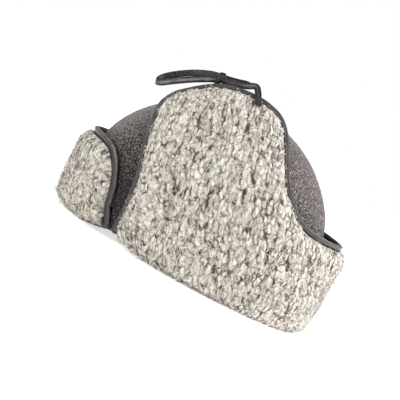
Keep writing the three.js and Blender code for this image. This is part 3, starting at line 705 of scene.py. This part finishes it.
def inset_line(points, distance):
    """A line at a fixed distance inside an outline, measured on the flap's own face."""
    last = len(points) - 1
    t = np.linspace(0, last, last * OUTLINE_STEPS + 1)
    gap = 0.5 / OUTLINE_STEPS
    step = spline(points, np.minimum(t + gap, last)) - spline(points, np.maximum(t - gap, 0))
    arc, z = spline(points, t).T
    scale_arc = np.linalg.norm(flap_point(arc + 1, z) - flap_point(arc - 1, z), axis=-1) / 2
    scale_up = np.linalg.norm(flap_point(arc, z + 1) - flap_point(arc, z - 1), axis=-1) / 2
    tangent = unit(step * np.column_stack([scale_arc, scale_up]))
    moved_arc = arc + distance * tangent[:, 1] / scale_arc
    return np.column_stack([moved_arc, z - distance * tangent[:, 0] / scale_up])


ear_points = outline_curve(EAR_OUTLINE, HALF_ROUND, NECK_HEIGHT)
front_points = outline_curve(FRONT_OUTLINE, 0.0, FRONT_HEIGHT)


def ear_line(inset):
    """The ear flap's edge, moved in."""
    return inset_line(ear_points, inset)


def front_line(inset):
    """The front flap's edge, moved in, from the right temple to the left one: the left half of it,
    mirrored, and then the left half itself from the forehead."""
    half = inset_line(front_points, -inset)
    return np.concatenate([half * [-1, 1], half[-2::-1]])


print("half way round:", round(float(HALF_ROUND), 1), "mm")

# %% [markdown]
# ## How thick the wool stands
# The pile is deepest at the fold and thins to the bound edge, over which it is rounded. A point
# near the cut edge needs its distance to that edge, which numpy works out for all points at once.

# %% Thickness
FOOT_THICKNESS, FLAP_THICKNESS, TIP_THICKNESS, EDGE_THICKNESS = 17.5, 14.2, 12.0, 4.6
FOOT_FADE, TIP_FADE = (15, 80), (100, 165)
NECK_FULLNESS, NECK_FROM, NECK_FULL = 4.5, 0.65, 0.9
NECK_GAP = 0.16
EDGE_ROUND = 14.0
FOLD_RADIUS = 11.0
EDGE_INSET = 5.7
SKIN = 1.8
SMALL_STEP = 0.7
BLOCK = 4000


def nearest_on_line(points, line):
    """For each point, the distance to a bent line and the way from the point to its nearest place."""
    start, step = line[:-1], np.diff(line, axis=0)
    square = np.maximum(np.sum(step * step, axis=1), 1e-9)
    distance, toward = np.empty(len(points)), np.empty_like(points)
    for low in range(0, len(points), BLOCK):
        here = points[low:low + BLOCK, None]
        share = np.clip(np.einsum("nmk,mk->nm", here - start[None], step) / square, 0, 1)
        way = start[None] + share[..., None] * step[None] - here
        length = np.linalg.norm(way, axis=-1)
        best = np.argmin(length, axis=1)
        rows = np.arange(len(here))
        distance[low:low + BLOCK] = length[rows, best]
        toward[low:low + BLOCK] = way[rows, best]
    return distance, toward


class Flap:
    """One flap of sheepskin: its cut edge, and the functions that place its wool. corner is the point
    of the line where its foot turns into its top, and end_arc is how far round the flap reaches."""

    def __init__(self, line, corner, end_arc, two_ended):
        self.line, self.corner, self.end_arc, self.two_ended = line, corner, end_arc, two_ended
        self.edge = flap_point(line[:, 0], line[:, 1])

    def thickness(self, arc, z):
        """Depth of skin and wool: thin at the cut edge, rounded over the first few millimetres."""
        distance, _ = nearest_on_line(flap_point(arc, z).reshape(-1, 3), self.edge)
        share = np.clip(distance.reshape(np.shape(arc)) / EDGE_ROUND, 0, 1)
        neck = NECK_FULLNESS * smooth(np.abs(arc), NECK_FROM * HALF_ROUND, NECK_FULL * HALF_ROUND)
        full = mix(FLAP_THICKNESS, FOOT_THICKNESS + neck, 1 - smooth(z, *FOOT_FADE))
        full = full + (TIP_THICKNESS - FLAP_THICKNESS) * smooth(z, *TIP_FADE)
        return mix(EDGE_THICKNESS, full, np.sqrt(1 - (1 - share) ** 2))

    def surface(self, arc, height, depth=0.0):
        """The outer face of the wool, moved in by depth. height follows the face up from the floor and,
        below the fold's radius, round the roll: z = R(1 - cos), out = T - R + R·sin."""
        z = np.maximum(height, FOLD_RADIUS)
        thick = self.thickness(arc, z) - depth
        radius = FOLD_RADIUS - depth
        turn = np.pi / 2 - np.clip(FOLD_RADIUS - height, 0, None) / FOLD_RADIUS
        rolled = flap_point(arc, np.maximum(FOLD_RADIUS - radius * np.cos(turn), 0))
        on_roll = height < FOLD_RADIUS
        out = np.where(on_roll, thick - radius + radius * np.sin(turn), thick)
        face = np.where(on_roll[..., None], rolled, flap_point(arc, z))
        return face + flap_outward(arc, z) * out[..., None]

    def normal(self, arc, height):
        """Direction square to the outer face of the wool, and the way up on it, from small steps."""
        round_step = self.surface(arc + SMALL_STEP, height) - self.surface(arc - SMALL_STEP, height)
        up_step = self.surface(arc, height + SMALL_STEP) - self.surface(arc, height - SMALL_STEP)
        normal = unit(np.cross(round_step, up_step))
        flat = flap_outward(arc, np.maximum(height, 1)) + [0, 0, 0.001]
        turned = np.sum(normal * flat, axis=-1) < -0.2
        return np.where(turned[..., None], -normal, normal), unit(up_step)


ear_edge, front_edge = ear_line(EDGE_INSET), front_line(EDGE_INSET)
ear = Flap(ear_edge, int(np.argmin(ear_edge[:, 0])), HALF_ROUND - NECK_GAP, False)
front = Flap(front_edge, FRONT_CORNER, -front_edge[0, 0], True)
middle_thickness = ear.thickness(np.array([200.0]), np.array([60.0]))[0]
print("ear flap thickness at mid height:", round(float(middle_thickness), 1))

# %% [markdown]
# ## The lie of the fleece
# The wool of each flap is a grid of columns that fan from the fold to the cut edge.

# %% Flap columns
CLIMB_SHARE = 0.55


def lengths_along(line, climb):
    """Length along a line on the flap's face, counting the climb by a share."""
    step = np.diff(flap_point(line[:, 0], line[:, 1]), axis=0) * [1, 1, climb]
    return np.concatenate([[0], np.cumsum(np.linalg.norm(step, axis=1))])


def flap_columns(flap, columns, shares):
    """Length round the oval and height of a grid of points: u runs from end to end of the flap and
    share from its foot to its cut edge. bow is how far the edge's upright end bends from straight."""
    line, corner = flap.line, flap.corner
    upright = line[:corner + 1]
    top = line[corner:len(line) - corner] if flap.two_ended else line[corner:]
    lengths = lengths_along(top, CLIMB_SHARE)
    u = np.linspace(0, 1, columns)[:, None]
    top_arc, top_z = (np.interp(u * lengths[-1], lengths, numbers) for numbers in top.T)
    if not flap.two_ended:
        top_arc = np.minimum(top_arc, flap.end_arc)
    share = np.asarray(shares)[None, :]
    (foot_arc, _), (corner_arc, corner_z) = upright[0], upright[-1]
    bow = np.interp(share * corner_z, upright[:, 1], upright[:, 0]) - mix(foot_arc, corner_arc, share)
    arc = mix(mix(foot_arc, flap.end_arc, u), top_arc, share) + (1 - u) ** 3 * bow
    if flap.two_ended:
        arc = arc - u**3 * bow
    return arc, share * top_z


# %% [markdown]
# ## Lumps of wool
# Shearling curls into crowded round lumps, with dark gaps between them where the pile parts. Bump
# mapping alone would leave the outline smooth, so the lumps are real relief on a fine grid: large
# lumps as wide as a pea and nearly three times as long, small ones on top of them, and finer curls in
# the material.

# %% Lumps
LUMPS_ROUND = 128
LARGE_LUMP = {"across": 5.2, "along": 14.0}
SMALL_LUMP = {"across": 3.0, "along": 5.0}
LARGE_RISE, SMALL_RISE = 2.8, 1.2
PILE_LEAN = 0.22
PARTING = {"cell_u": 2.4, "cell_v": 11.0}


def domes(u, v, across, along, seed):
    """Crowded round lumps, one at a random place in each cell of a lattice. Returns the height of
    the highest at each point, top·sqrt(1 - d²/r²), how far that is above the next highest, which is 0
    in a crease, and the highest lump's own random shade."""
    rng = np.random.default_rng(seed)
    place_u, place_v, top, reach, shade = rng.uniform(0, 1, (5, LUMPS_ROUND, LUMPS_ROUND))
    x, y = u / across, v / along
    i, j = np.floor(x).astype(int), np.floor(y).astype(int)
    best = second = best_shade = np.zeros(x.shape)
    for a in (-1, 0, 1):
        for b in (-1, 0, 1):
            cell = (i + a) % LUMPS_ROUND, (j + b) % LUMPS_ROUND
            away = np.hypot(
                x - i - a - mix(0.1, 0.9, place_u[cell]), y - j - b - mix(0.1, 0.9, place_v[cell])
            )
            radius = mix(0.62, 0.98, reach[cell])
            here = mix(0.62, 1.0, top[cell]) * np.sqrt(np.clip(1 - (away / radius) ** 2, 0, None))
            best_shade = np.where(here > best, shade[cell], best_shade)
            second = np.maximum(second, np.minimum(here, best))
            best = np.maximum(best, here)
    return best, best - second, best_shade


def relief(arc, height, seed):
    """Rise of the fleece over its deepest gaps in millimetres, how near its crest a point is from 0
    to 1, the shade of its lump, and its coordinates for the wool's pattern. The lumps lean with the
    pile and wander sideways."""
    u = arc + PILE_LEAN * height + 1.1 * uneven(arc, height, 3.5, 4, seed)
    u = u + 4 * uneven(arc, height, 24, 30, seed + 1)
    v = height + 1.2 * uneven(arc, height, 4, 3.5, seed + 2)
    large, large_gap, shade = domes(u, v, seed=seed + 3, **LARGE_LUMP)
    small = domes(u, v, seed=seed + 4, **SMALL_LUMP)[0]
    parted = 1 - smooth(uneven(u, v, seed=seed + 5, **PARTING), -0.85, -0.5)
    large = large * (1 - 0.4 * parted) * mix(0.75, 1, smooth(large_gap, 0, 0.2))
    crest = np.clip(0.65 * large + 0.5 * small, 0, 1)
    return LARGE_RISE * large + SMALL_RISE * small, crest, shade, np.stack([u, v, 0 * u], axis=-1)


# %% Fleece
PILE_DEPTH = 4.0
SKIN_SIDE_ROWS, UNDER_ROWS = 8, 7
# How deep the wool starts at the cut edge, and the largest part of its thickness that a gap takes.
EDGE_DEPTH, DEEPEST_SHARE = 0.8, 0.35
# How far the painted shade of the deepest gaps is lifted beside the binding, where the pile is
# short, and the thicknesses between which that fades.
EDGE_CREST, EDGE_FADE = 0.5, (9, 13)
OVER_FLOOR = 0.3


def fleece_piece(name, flap, node, seed, mirror, columns, rows_up):
    """Closed body of one flap's wool: up its skin side, over the cut edge, down the wool side with
    its lumps and round the fold."""
    arc_in, z_in = flap_columns(flap, columns, np.linspace(0.04, 1, SKIN_SIDE_ROWS))
    inner = flap_point(arc_in, z_in) + flap_outward(arc_in, z_in) * SKIN
    arc, height = flap_columns(flap, columns, np.linspace(1, 0, rows_up + 1))
    under = np.linspace(0, -FOLD_RADIUS * (np.pi / 2 - 1), UNDER_ROWS + 1)[None, 1:]
    arc = np.concatenate([arc, np.repeat(arc[:, -1:], UNDER_ROWS, axis=1)], axis=1)
    height = np.concatenate([height, np.repeat(under, columns, axis=0)], axis=1)
    rise, crest, shade, strand = relief(2 * HALF_ROUND - arc if mirror else arc, height, seed)
    thickness = flap.thickness(arc, np.maximum(height, FOLD_RADIUS))
    inset = PILE_DEPTH - rise
    inset[:, 0] = EDGE_DEPTH
    inset = np.minimum(inset, DEEPEST_SHARE * thickness)
    crest = np.maximum(crest, EDGE_CREST * (1 - smooth(thickness, *EDGE_FADE)))
    points = np.concatenate([inner, flap.surface(arc, height, inset)], axis=1)
    points[..., 2] = np.maximum(points[..., 2], OVER_FLOOR)
    deep = np.zeros(arc_in.shape)
    pairs = {"strand": (inner, strand), "painted_relief_shade": (deep, crest), "lock": (deep, shade)}
    values = {key: np.concatenate(pair, axis=1) for key, pair in pairs.items()}
    return add_piece(name, points, tube_faces(*points.shape[:2]), wool, [node], values, mirror)


fleece_piece("left_flap_fleece", ear, "left_ear_flap", 11, False, 370, 165)
fleece_piece("right_flap_fleece", ear, "right_ear_flap", 11, True, 370, 165)
fleece_piece("front_flap_fleece", front, "front_flap", 85, False, 230, 80)

# %% [markdown]
# ## Curls on the lumps
# Over the lumps lie thousands of short curls, and a few fine hairs stand off them and blur the
# outline. Each is a tapered tube bent into part of a circle, and all of them are worked out in one
# go. A hair system could do it, but hair has no faces to keep.

# %% Curl shape
CURL_SIDES = 3
# Where the two ends and the three rings of a curl lie along it, and the size of each ring.
RING_AT = np.array([0.0, 0.2, 0.5, 0.82, 1.0])
RING_SIZE = np.array([0.9, 1.0, 0.75])
CURL_RINGS = len(RING_SIZE)


def curl_mesh(root, outward, lay, length, radius, lift, bend):
    """Tapered tubes. Along t from 0 to 1 a curl turns through the angle bend in the face of the
    wool, so that it goes length·sin(bend·t)/bend along its lay and length·(1 - cos(bend·t))/bend
    to the side, and it rises by lift·sin(π·t^0.85). Returns each curl's points, and t at them."""
    length, radius, lift, bend = (numbers[:, None, None] for numbers in (length, radius, lift, bend))
    t = RING_AT[None, :, None]
    centre = (
        root[:, None]
        + lay[:, None] * (length * np.sin(bend * t) / bend)
        + np.cross(outward, lay)[:, None] * (length * (1 - np.cos(bend * t)) / bend)
        + outward[:, None] * (lift * np.sin(np.pi * t**0.85))
    )
    tangent = unit(np.gradient(centre, axis=1))
    up = unit(outward[:, None] - np.sum(outward[:, None] * tangent, axis=-1, keepdims=True) * tangent)
    across = np.cross(tangent, up)
    turn = np.linspace(0, 2 * np.pi, CURL_SIDES, endpoint=False) + np.pi / 2
    size = radius * RING_SIZE[None, :, None]
    rings = (
        centre[:, 1:-1, None] + across[:, 1:-1, None] * (size * np.cos(turn))[..., None]
        + up[:, 1:-1, None] * (size * np.sin(turn))[..., None]
    )
    points = np.concatenate([rings.reshape(len(root), -1, 3), centre[:, [0, -1]]], axis=1)
    return points, np.append(np.repeat(RING_AT[1:-1], CURL_SIDES), [0.0, 1.0])


def curl_faces(count):
    """Faces of each curl: four-sided between rings, and three-sided at the two ends."""
    ring = np.arange(CURL_SIDES)
    beside = (ring + 1) % CURL_SIDES
    low = (np.arange(CURL_RINGS - 1) * CURL_SIDES)[:, None]
    high = low + CURL_SIDES
    quads = np.stack([low + ring, low + beside, high + beside, high + ring], -1).reshape(-1, 4)
    start = CURL_RINGS * CURL_SIDES
    last = start - CURL_SIDES
    ends = np.concatenate([
        np.stack([np.full(CURL_SIDES, start), beside, ring], axis=1),
        np.stack([np.full(CURL_SIDES, start + 1), last + ring, last + beside], axis=1),
    ])
    offset = (np.arange(count) * (start + 2))[:, None, None]
    return [(quads + offset).reshape(-1, 4), (ends + offset).reshape(-1, 3)]


# %% Curl places
CURL_GAP = 1.9
MARGIN = 8.0
HAIR_SHARE = 0.12
HAIR_CREST, CURL_CREST = 0.3, (0.4, 1.0)
# Least and most length, radius and lift, in millimetres.
HAIR_SIZES = ((4, 8), (0.16, 0.3), (1.2, 4.0))
CURL_SIZES = ((2.6, 4.6), (0.35, 0.7), (0.3, 1.1))
EDGE_CLEAR = 6.0
OVERHANG_FROM, OVERHANG_TO, OVERHANG_HEIGHT, FOREHEAD = -50.0, 0.0, 150, -104.0


def inside_outline(points, outline):
    """True for points inside a closed outline: a ray from the point crosses it an odd number of times."""
    a, b = outline, np.roll(outline, -1, axis=0)
    x, y = points[:, :1], points[:, 1:]
    crosses = (a[:, 1] > y) != (b[:, 1] > y)
    slope = (b[:, 0] - a[:, 0]) / np.where(b[:, 1] == a[:, 1], 1e-9, b[:, 1] - a[:, 1])
    return (np.sum(crosses & (x < a[:, 0] + (y - a[:, 1]) * slope), axis=1) % 2) == 1


def curl_places(flap, seed):
    """Roots of the curls: an even lattice over the flap, each root moved at random inside its cell,
    and fewer of them where the face narrows."""
    rng = np.random.default_rng(seed)
    low = FOLD_RADIUS * (1 - np.pi / 2) - 1
    outline = np.concatenate([flap.line, [(flap.end_arc, low), (flap.line[0, 0], low)]])
    arcs = np.arange(outline[:, 0].min() - MARGIN, outline[:, 0].max() + MARGIN, CURL_GAP)
    heights = np.arange(low - MARGIN, outline[:, 1].max() + MARGIN, CURL_GAP)
    lattice = np.stack(np.meshgrid(arcs, heights, indexing="ij"))
    places = (lattice + rng.uniform(-0.5, 0.5, lattice.shape) * CURL_GAP).reshape(2, -1).T
    lengths = table_curve(np.clip(places[:, 1], 0, FLAP["z"][-1]), "half_length")
    narrowing = lengths / table_curve(ROUND_HEIGHT, "half_length")
    keep = inside_outline(places, outline) & (rng.uniform(0, 1, len(places)) < narrowing**1.5)
    return places[keep]


def curls_piece(name, flap, node, seed, mirror):
    """The curls and hairs of one flap. Each starts on the relief of the fleece. Near the cut edge it
    turns away from the binding, but for the top of the ear flap and the foremost part of the front
    flap, where the wool hangs over it."""
    rng = np.random.default_rng(seed + 20 + mirror)
    arc, height = curl_places(flap, seed + mirror).T
    rise, crest, shade, strand = relief(2 * HALF_ROUND - arc if mirror else arc, height, seed)
    hair = rng.uniform(0, 1, len(arc)) < HAIR_SHARE
    keep = crest > np.where(hair, HAIR_CREST, rng.uniform(*CURL_CREST, len(arc)))
    fields = (arc, height, rise, crest, shade, strand, hair)
    arc, height, rise, crest, shade, strand, hair = (field[keep] for field in fields)
    count = len(arc)
    root = flap.surface(arc, height, PILE_DEPTH - rise + 0.35)
    outward, up_face = flap.normal(arc, height)
    turn = rng.normal(0, 0.9, count)[:, None]
    lay = -up_face * np.cos(turn) + np.cross(outward, up_face) * np.sin(turn)
    edge_distance, toward = nearest_on_line(flap_point(arc, np.maximum(height, 0)), flap.edge)
    toward = unit(toward)
    over = np.clip(np.sum(lay * toward, axis=1), 0, 1) * (1 - smooth(edge_distance, 1.0, EDGE_CLEAR))
    x = root[:, 0]
    top_of_ear = (x > OVERHANG_FROM) & (x < OVERHANG_TO) & (height > OVERHANG_HEIGHT)
    over = np.where(x < FOREHEAD if flap.two_ended else top_of_ear, 0, over)
    lay = unit(lay - 1.5 * over[:, None] * toward)
    lay = unit(lay - np.sum(lay * outward, axis=1, keepdims=True) * outward)
    length, radius, lift = (
        np.where(hair, rng.uniform(*of_hair, count), rng.uniform(*of_curl, count))
        for of_hair, of_curl in zip(HAIR_SIZES, CURL_SIZES)
    )
    bend = rng.uniform(1.2, 4.2, count) * rng.choice([-1, 1], count)
    shade = np.clip(shade + rng.uniform(-0.25, 0.25, count), 0, 1)
    points, t = curl_mesh(root, outward, lay, length, radius, lift, bend)
    away = points - root[:, None]
    ways = (np.cross(up_face, outward) * (-1 if mirror else 1), up_face, outward)
    strand = strand[:, None] + np.stack([np.einsum("nkc,nc->nk", away, way) for way in ways], axis=-1)
    points[..., 2] = np.maximum(points[..., 2], 0.0)
    # Painted shade along each curl: a little darker at its root, and darker where its lump's crest is low.
    painted_relief_shade = mix(0.85, 0.98, t) * crest[:, None]
    values = {"strand": strand, "painted_relief_shade": painted_relief_shade, "lock": np.repeat(shade, len(t))}
    print(f"{name}: {count} curls")
    return add_piece(name, points, curl_faces(count), wool, [node], values, mirror)


curls_piece("left_flap_curls", ear, "left_ear_flap", 11, False)
curls_piece("right_flap_curls", ear, "right_ear_flap", 11, True)
curls_piece("front_flap_curls", front, "front_flap", 85, False)

# %% [markdown]
# ## The flaps' leather side
# The skin shows behind the bound edges and in the gap at the neck. It is a thin closed sheet over
# the flap's inner face.

# %% Skins
SKIN_ROWS = 24
SKIN_BACK = 0.8


def skin_piece(name, flap, node, columns, mirror):
    """A sheet as thick as the skin, from the fold to the cut edge, set back a little at its foot."""
    arc, z = flap_columns(flap, columns, np.linspace(0, 1, SKIN_ROWS))
    outward = flap_outward(arc, z)
    inner = flap_point(arc, z) - SKIN_BACK * outward * (1 - smooth(z, 0, 10))[..., None]
    points = np.concatenate([inner, (inner + outward * SKIN)[:, ::-1]], axis=1)
    faces = tube_faces(*points.shape[:2])
    return add_piece(name, points, faces, skin_leather, [node], mirror=mirror)


skin_piece("left_flap_skin", ear, "left_ear_flap", 90, False)
skin_piece("right_flap_skin", ear, "right_ear_flap", 90, True)
skin_piece("front_flap_skin", front, "front_flap", 60, False)

# %% [markdown]
# ## Bindings
# A strip of dark leather is folded over each cut edge. Its section is a rounded bar with a bead
# where the leather turns and a shallow valley beside it. With a highlight painted along the bead and
# shade painted in the valley and on the wool side, it gives the thin light line that the photo shows
# along the edge.

# %% Binding strips
BINDING_WIDTH, BINDING_SUNK = 5.0, 1.0
BINDING_OVER_FLOOR = 0.6
BINDING_MIDDLE = np.array([0.0, 2.5])

# Across the strip and out from the flap, in millimetres, and the light painted there, over 0 for a
# painted highlight and under 0 for painted shade: outer bead, valley, wool side, skin side.
BINDING_SECTION = np.array([
    (2.5, 1.6, 0.2), (2.55, 2.6, 0.8), (2.5, 3.6, 1), (2.25, 4.4, 0.8), (1.75, 4.95, 0.3), (1.1, 5.15, 0.1),
    (0.45, 4.95, 0), (-0.1, 4.7, -0.3), (-0.8, 4.72, 0), (-1.5, 4.8, 0.1), (-2.0, 4.6, -0.3),
    (-2.35, 4.1, -1), (-2.5, 3.2, -1), (-2.5, 2.0, -1), (-2.4, 1.0, 0), (-1.9, 0.35, 0), (-1.0, 0.05, 0),
    (0.0, 0.0, 0), (1.0, 0.1, 0), (1.9, 0.5, 0), (2.35, 1.0, 0),
])


def binding_piece(name, line, end_gap, node, steps, mirror):
    """Sweeps the binding's section along the flap's cut edge. It swells a little here and there and
    narrows at its free ends. An ear flap's strip has one, since the other butts at the neck."""
    lengths = lengths_along(line, 1.0)
    at = np.linspace(0, lengths[-1] - end_gap, steps)
    arc, z = (np.interp(at, lengths, numbers) for numbers in line.T)
    outward = flap_outward(arc, z)
    path = flap_point(arc, z) - outward * (BINDING_SUNK * smooth(z, 12, 45))[:, None]
    across = unit(np.cross(outward, unit(np.gradient(path, axis=0))))
    swell = 1 + 0.025 * uneven(at, at * 0, 9, 9, 7)
    from_end = at if end_gap else np.minimum(at, at[-1] - at)
    size = np.minimum(1, from_end / 2.0 + 0.55)[:, None, None]
    section = BINDING_SECTION[None, :, :2] * swell[:, None, None]
    section = BINDING_MIDDLE + (section - BINDING_MIDDLE) * size
    points = swept(path, across, outward, section)
    points[..., 2] = np.maximum(points[..., 2], BINDING_OVER_FLOOR)
    # Painted highlight and painted shade across the strip, the same at every step.
    painted_light_and_shade = {"painted_light_and_shade": np.tile(BINDING_SECTION[:, 2], steps)}
    faces = tube_faces(*points.shape[:2])
    return add_piece(name, points, faces, binding_leather, [node], painted_light_and_shade, mirror)


ear_binding, front_binding = ear_line(BINDING_WIDTH / 2), front_line(BINDING_WIDTH / 2)
binding_piece("left_binding", ear_binding, NECK_GAP, "left_flap_binding", 320, False)
binding_piece("right_binding", ear_binding, NECK_GAP, "right_flap_binding", 320, True)
binding_piece("front_binding", front_binding, 0, "front_flap_binding", 220, False)

# %% [markdown]
# ## The crown
# Four gores of leather meet in seams over the top. The face is an oval wall that turns into a
# dome, and each gore dips where it is turned in at its seams.

# %% Crown face
CROWN_HALF_LENGTH, CROWN_HALF_WIDTH = 116.0, 94.0
CROWN_SHOULDER, CROWN_HEIGHT, CROWN_WALL = 50.0, 162.0, 12.0
CROWN_MIDDLE, CROWN_DRIFT, CROWN_FULLNESS = -3.7, 8.7, 0.02
RIM_TUCK, RIM_SHIFT, WALL_SHARE = 3.7, 4.2, 0.32
SEAM_HALF_GAP = 0.05
CROWN_STEP = 0.005


def crown_point(angle, rise):
    """The crown's face. Below the shoulder an oval wall, above it a dome: spread = cos q + 0.02 sin 4q
    and climb = sin q, with the oval's middle drifting back as it climbs."""
    quarter = np.clip((rise - WALL_SHARE) / (1 - WALL_SHARE), 0, 1) * np.pi / 2
    spread = np.maximum(np.cos(quarter), 0) + CROWN_FULLNESS * np.sin(4 * quarter)
    climb = np.sin(quarter)
    z = mix(CROWN_SHOULDER * np.clip(rise / WALL_SHARE, 0, 1), CROWN_HEIGHT, climb)
    to_rim = (1 - np.clip(z / CROWN_SHOULDER, 0, 1)) ** 2
    middle = CROWN_MIDDLE + CROWN_DRIFT * climb**2 + RIM_SHIFT * to_rim
    return np.stack([
        middle - (CROWN_HALF_LENGTH - RIM_TUCK * to_rim) * spread * np.cos(angle),
        -(CROWN_HALF_WIDTH - RIM_TUCK * to_rim) * spread * np.sin(angle),
        z,
    ], axis=-1)


def crown_normal(angle, rise):
    """Direction out of the crown's face, from small steps on it."""
    inside = np.clip(rise, 0.01, 0.985)
    normal = unit(np.cross(
        crown_point(angle + CROWN_STEP, inside) - crown_point(angle - CROWN_STEP, inside),
        crown_point(angle, inside + CROWN_STEP) - crown_point(angle, inside - CROWN_STEP),
    ))
    inward = np.stack([np.cos(angle) * CROWN_HALF_WIDTH, np.sin(angle) * CROWN_HALF_LENGTH, 0 * angle], -1)
    normal = normal * np.where(np.sum(normal * inward, axis=-1) > 0, -1, 1)[..., None]
    normal[rise > 0.999] = [0, 0, 1]
    return normal


# %% Leather gores
GORES = ("crown_front_left", "crown_back_left", "crown_back_right", "crown_front_right")
LEATHER_THICKNESS = 2.0
SEAM_DIP, SEAM_WIDTH, SWELL = 1.1, 1.8, 0.5
# Distances to the front flap's and an ear flap's cut edge, and heights at two ranges, over which the
# painted shade beside and under the flaps fades out.
FRONT_SHADE_FADE, EAR_SHADE_FADE = (18.0, 38.0), (4.0, 11.0)
PAINTED_SHADE_TOP, PAINTED_SHADE_FOOT = (50.0, 85.0), (20.0, 70.0)


def crown_grid(angle, foot, rows):
    """Columns of points up the crown. Returns the angle of each, its share of the way up, its place
    on the crown's face and the direction out there."""
    rise = np.linspace(foot, 1, rows)[None, :] ** 0.9
    angle, rise = np.broadcast_arrays(angle[:, None], rise)
    return angle, rise, crown_point(angle, rise), crown_normal(angle, rise)


def shell(outer, inner, angle):
    """Points up an outer face and down an inner one, with the rim lifted between the flaps."""
    points = np.concatenate([outer, inner[:, ::-1]], axis=1)
    arc = np.interp(np.arccos(np.cos(angle)), ROUND_ANGLES, ROUND_LENGTHS)
    arc = np.concatenate([arc, arc[:, ::-1]], axis=1)
    points[..., 2] += notch_lift(arc, points[..., 2])
    return points


def gore_piece(quarter, node, columns, rows):
    """A closed leather panel over a quarter of the crown, pulled in along its two seams. It carries
    painted shade, darkest beside the flaps' edges and low on the crown, where the flaps shade it."""
    turn = (quarter + np.linspace(0, 1, columns)) * np.pi / 2
    angle, rise, face, normal = crown_grid(turn, 0.002, rows)
    from_seam = np.minimum(angle - quarter * np.pi / 2, (quarter + 1) * np.pi / 2 - angle)
    reach = np.linalg.norm(face[..., :2] - [CROWN_MIDDLE + 5, 0], axis=-1) * from_seam
    dip = SEAM_DIP * np.exp(-((reach / SEAM_WIDTH) ** 2)) * (1 - smooth(rise, 0.985, 1.0))
    swell = SWELL * uneven(angle * 60, face[..., 2], 30, 26, 21) * smooth(reach, 0, 12)
    outer = face - normal * (dip - swell)[..., None]
    inner = face - normal * (dip + LEATHER_THICKNESS)[..., None]
    points = shell(outer, inner, angle)
    flat = points.reshape(-1, 3)
    on_left = flat * [1, -1, 1] if quarter > 1 else flat
    # Painted shade, darkest beside the flaps' edges and low on the crown.
    by_front = 1 - smooth(nearest_on_line(flat, front.edge)[0], *FRONT_SHADE_FADE)
    by_ear = 1 - smooth(nearest_on_line(on_left, ear.edge)[0], *EAR_SHADE_FADE)
    painted_shade = np.maximum(by_front * (1 - smooth(flat[:, 2], *PAINTED_SHADE_TOP)), by_ear)
    painted_shade = np.maximum(painted_shade, 1 - smooth(flat[:, 2], *PAINTED_SHADE_FOOT))
    middle = (quarter + 0.5) * np.pi / 2
    points += np.array([-np.sign(np.cos(middle)), -np.sign(np.sin(middle)), 0]) * SEAM_HALF_GAP
    return add_piece(
        node + "_leather", points, tube_faces(*points.shape[:2]), crown_leather,
        [node], {"painted_shade": painted_shade},
    )


for quarter, node in enumerate(GORES):
    gore_piece(quarter, node, 50, 64)

# %% [markdown]
# ## The wool lining
# Inside, the same skins carry their wool. It is one closed lumpy layer, since it is only seen from
# below.

# %% Lining
LINING_GAP = 1.3
LINING_LIGHT = 0.6


def lining_piece(columns, rows):
    """A closed layer from under the leather to the depth of the crown's wall, with uneven lumps. They
    meet where the turn ends, because uneven repeats after each LATTICE of its cells."""
    angle, rise, face, normal = crown_grid(np.linspace(0, 2 * np.pi, columns), 0.012, rows)
    around = angle / (2 * np.pi) * LATTICE * 9.0
    lump = 1.2 * uneven(around, face[..., 2], 9.0, 5.5, 31) + 0.8 * uneven(around, face[..., 2], 4.5, 3.1, 33)
    lump = lump * (1 - smooth(rise, 0.95, 1.0))
    outer = face - normal * (LEATHER_THICKNESS + LINING_GAP)
    points = shell(outer, face - normal * (CROWN_WALL - 1.0 + lump)[..., None], angle)
    points[..., 2] = np.maximum(points[..., 2], 1.0)
    light = np.full(points.shape[:2], LINING_LIGHT)
    return add_piece(
        "crown_lining", points, [grid_faces(*points.shape[:2])], wool, GORES,
        {"strand": points, "painted_relief_shade": light, "lock": light}, weld=True,
    )


lining_piece(170, 54)

# %% [markdown]
# ## Floor and light
# The photo is bright and almost without shadow. So a pale floor glows a little, and the world is
# white to the camera but dimmer on the hat. A soft sun and a lamp from each side model its forms.

# %% Stage
LAMPS_LOOK_AT = Vector((0, 0, 0.08))

floor_mesh = bpy.data.meshes.new("floor")
floor_mesh.from_pydata([(-6, -6, 0), (6, -6, 0), (6, 6, 0), (-6, 6, 0)], [], [(0, 1, 2, 3)])
floor = new_object("floor", floor_mesh)
floor_paint, nodes, shader = new_material("floor_paint")
nodes.fill(shader, {
    "Base Color": (0.92, 0.92, 0.92, 1),
    "Roughness": 0.9,
    "Emission Color": (1, 1, 1, 1),
    "Emission Strength": 0.62,
})
floor_mesh.materials.append(floor_paint)

world = bpy.data.worlds.new("white_room")
world.use_nodes = True
nodes = Nodes(world.node_tree)
seen = nodes.add("ShaderNodeLightPath").outputs["Is Camera Ray"]
strength = nodes.between(seen, 0.0, 1.0, 0.27, 1.0)
nodes.fill(world.node_tree.nodes["Background"], {"Color": (1, 1, 1, 1), "Strength": strength})
bpy.context.scene.world = world
bpy.context.scene.view_settings.view_transform = "Standard"


def aim_lamp(lamp_name, kind, place, power, **settings):
    """One lamp at a place in metres, turned towards the hat."""
    lamp_data = bpy.data.lights.new(lamp_name, kind)
    lamp_data.energy = power
    for key, value in settings.items():
        setattr(lamp_data, key, value)
    lamp = new_object(lamp_name, lamp_data)
    lamp.location = place
    lamp.rotation_euler = (LAMPS_LOOK_AT - lamp.location).to_track_quat("-Z", "Y").to_euler()


aim_lamp("soft_sun", "SUN", (0.45, -0.5, 1.3), 2.15, angle=math.radians(12))
aim_lamp("left_lamp", "AREA", (-1.2, -0.8, 0.7), 15.0, size=0.6)
aim_lamp("right_lamp", "AREA", (0.95, 0.0, 0.75), 18.5, size=0.6)
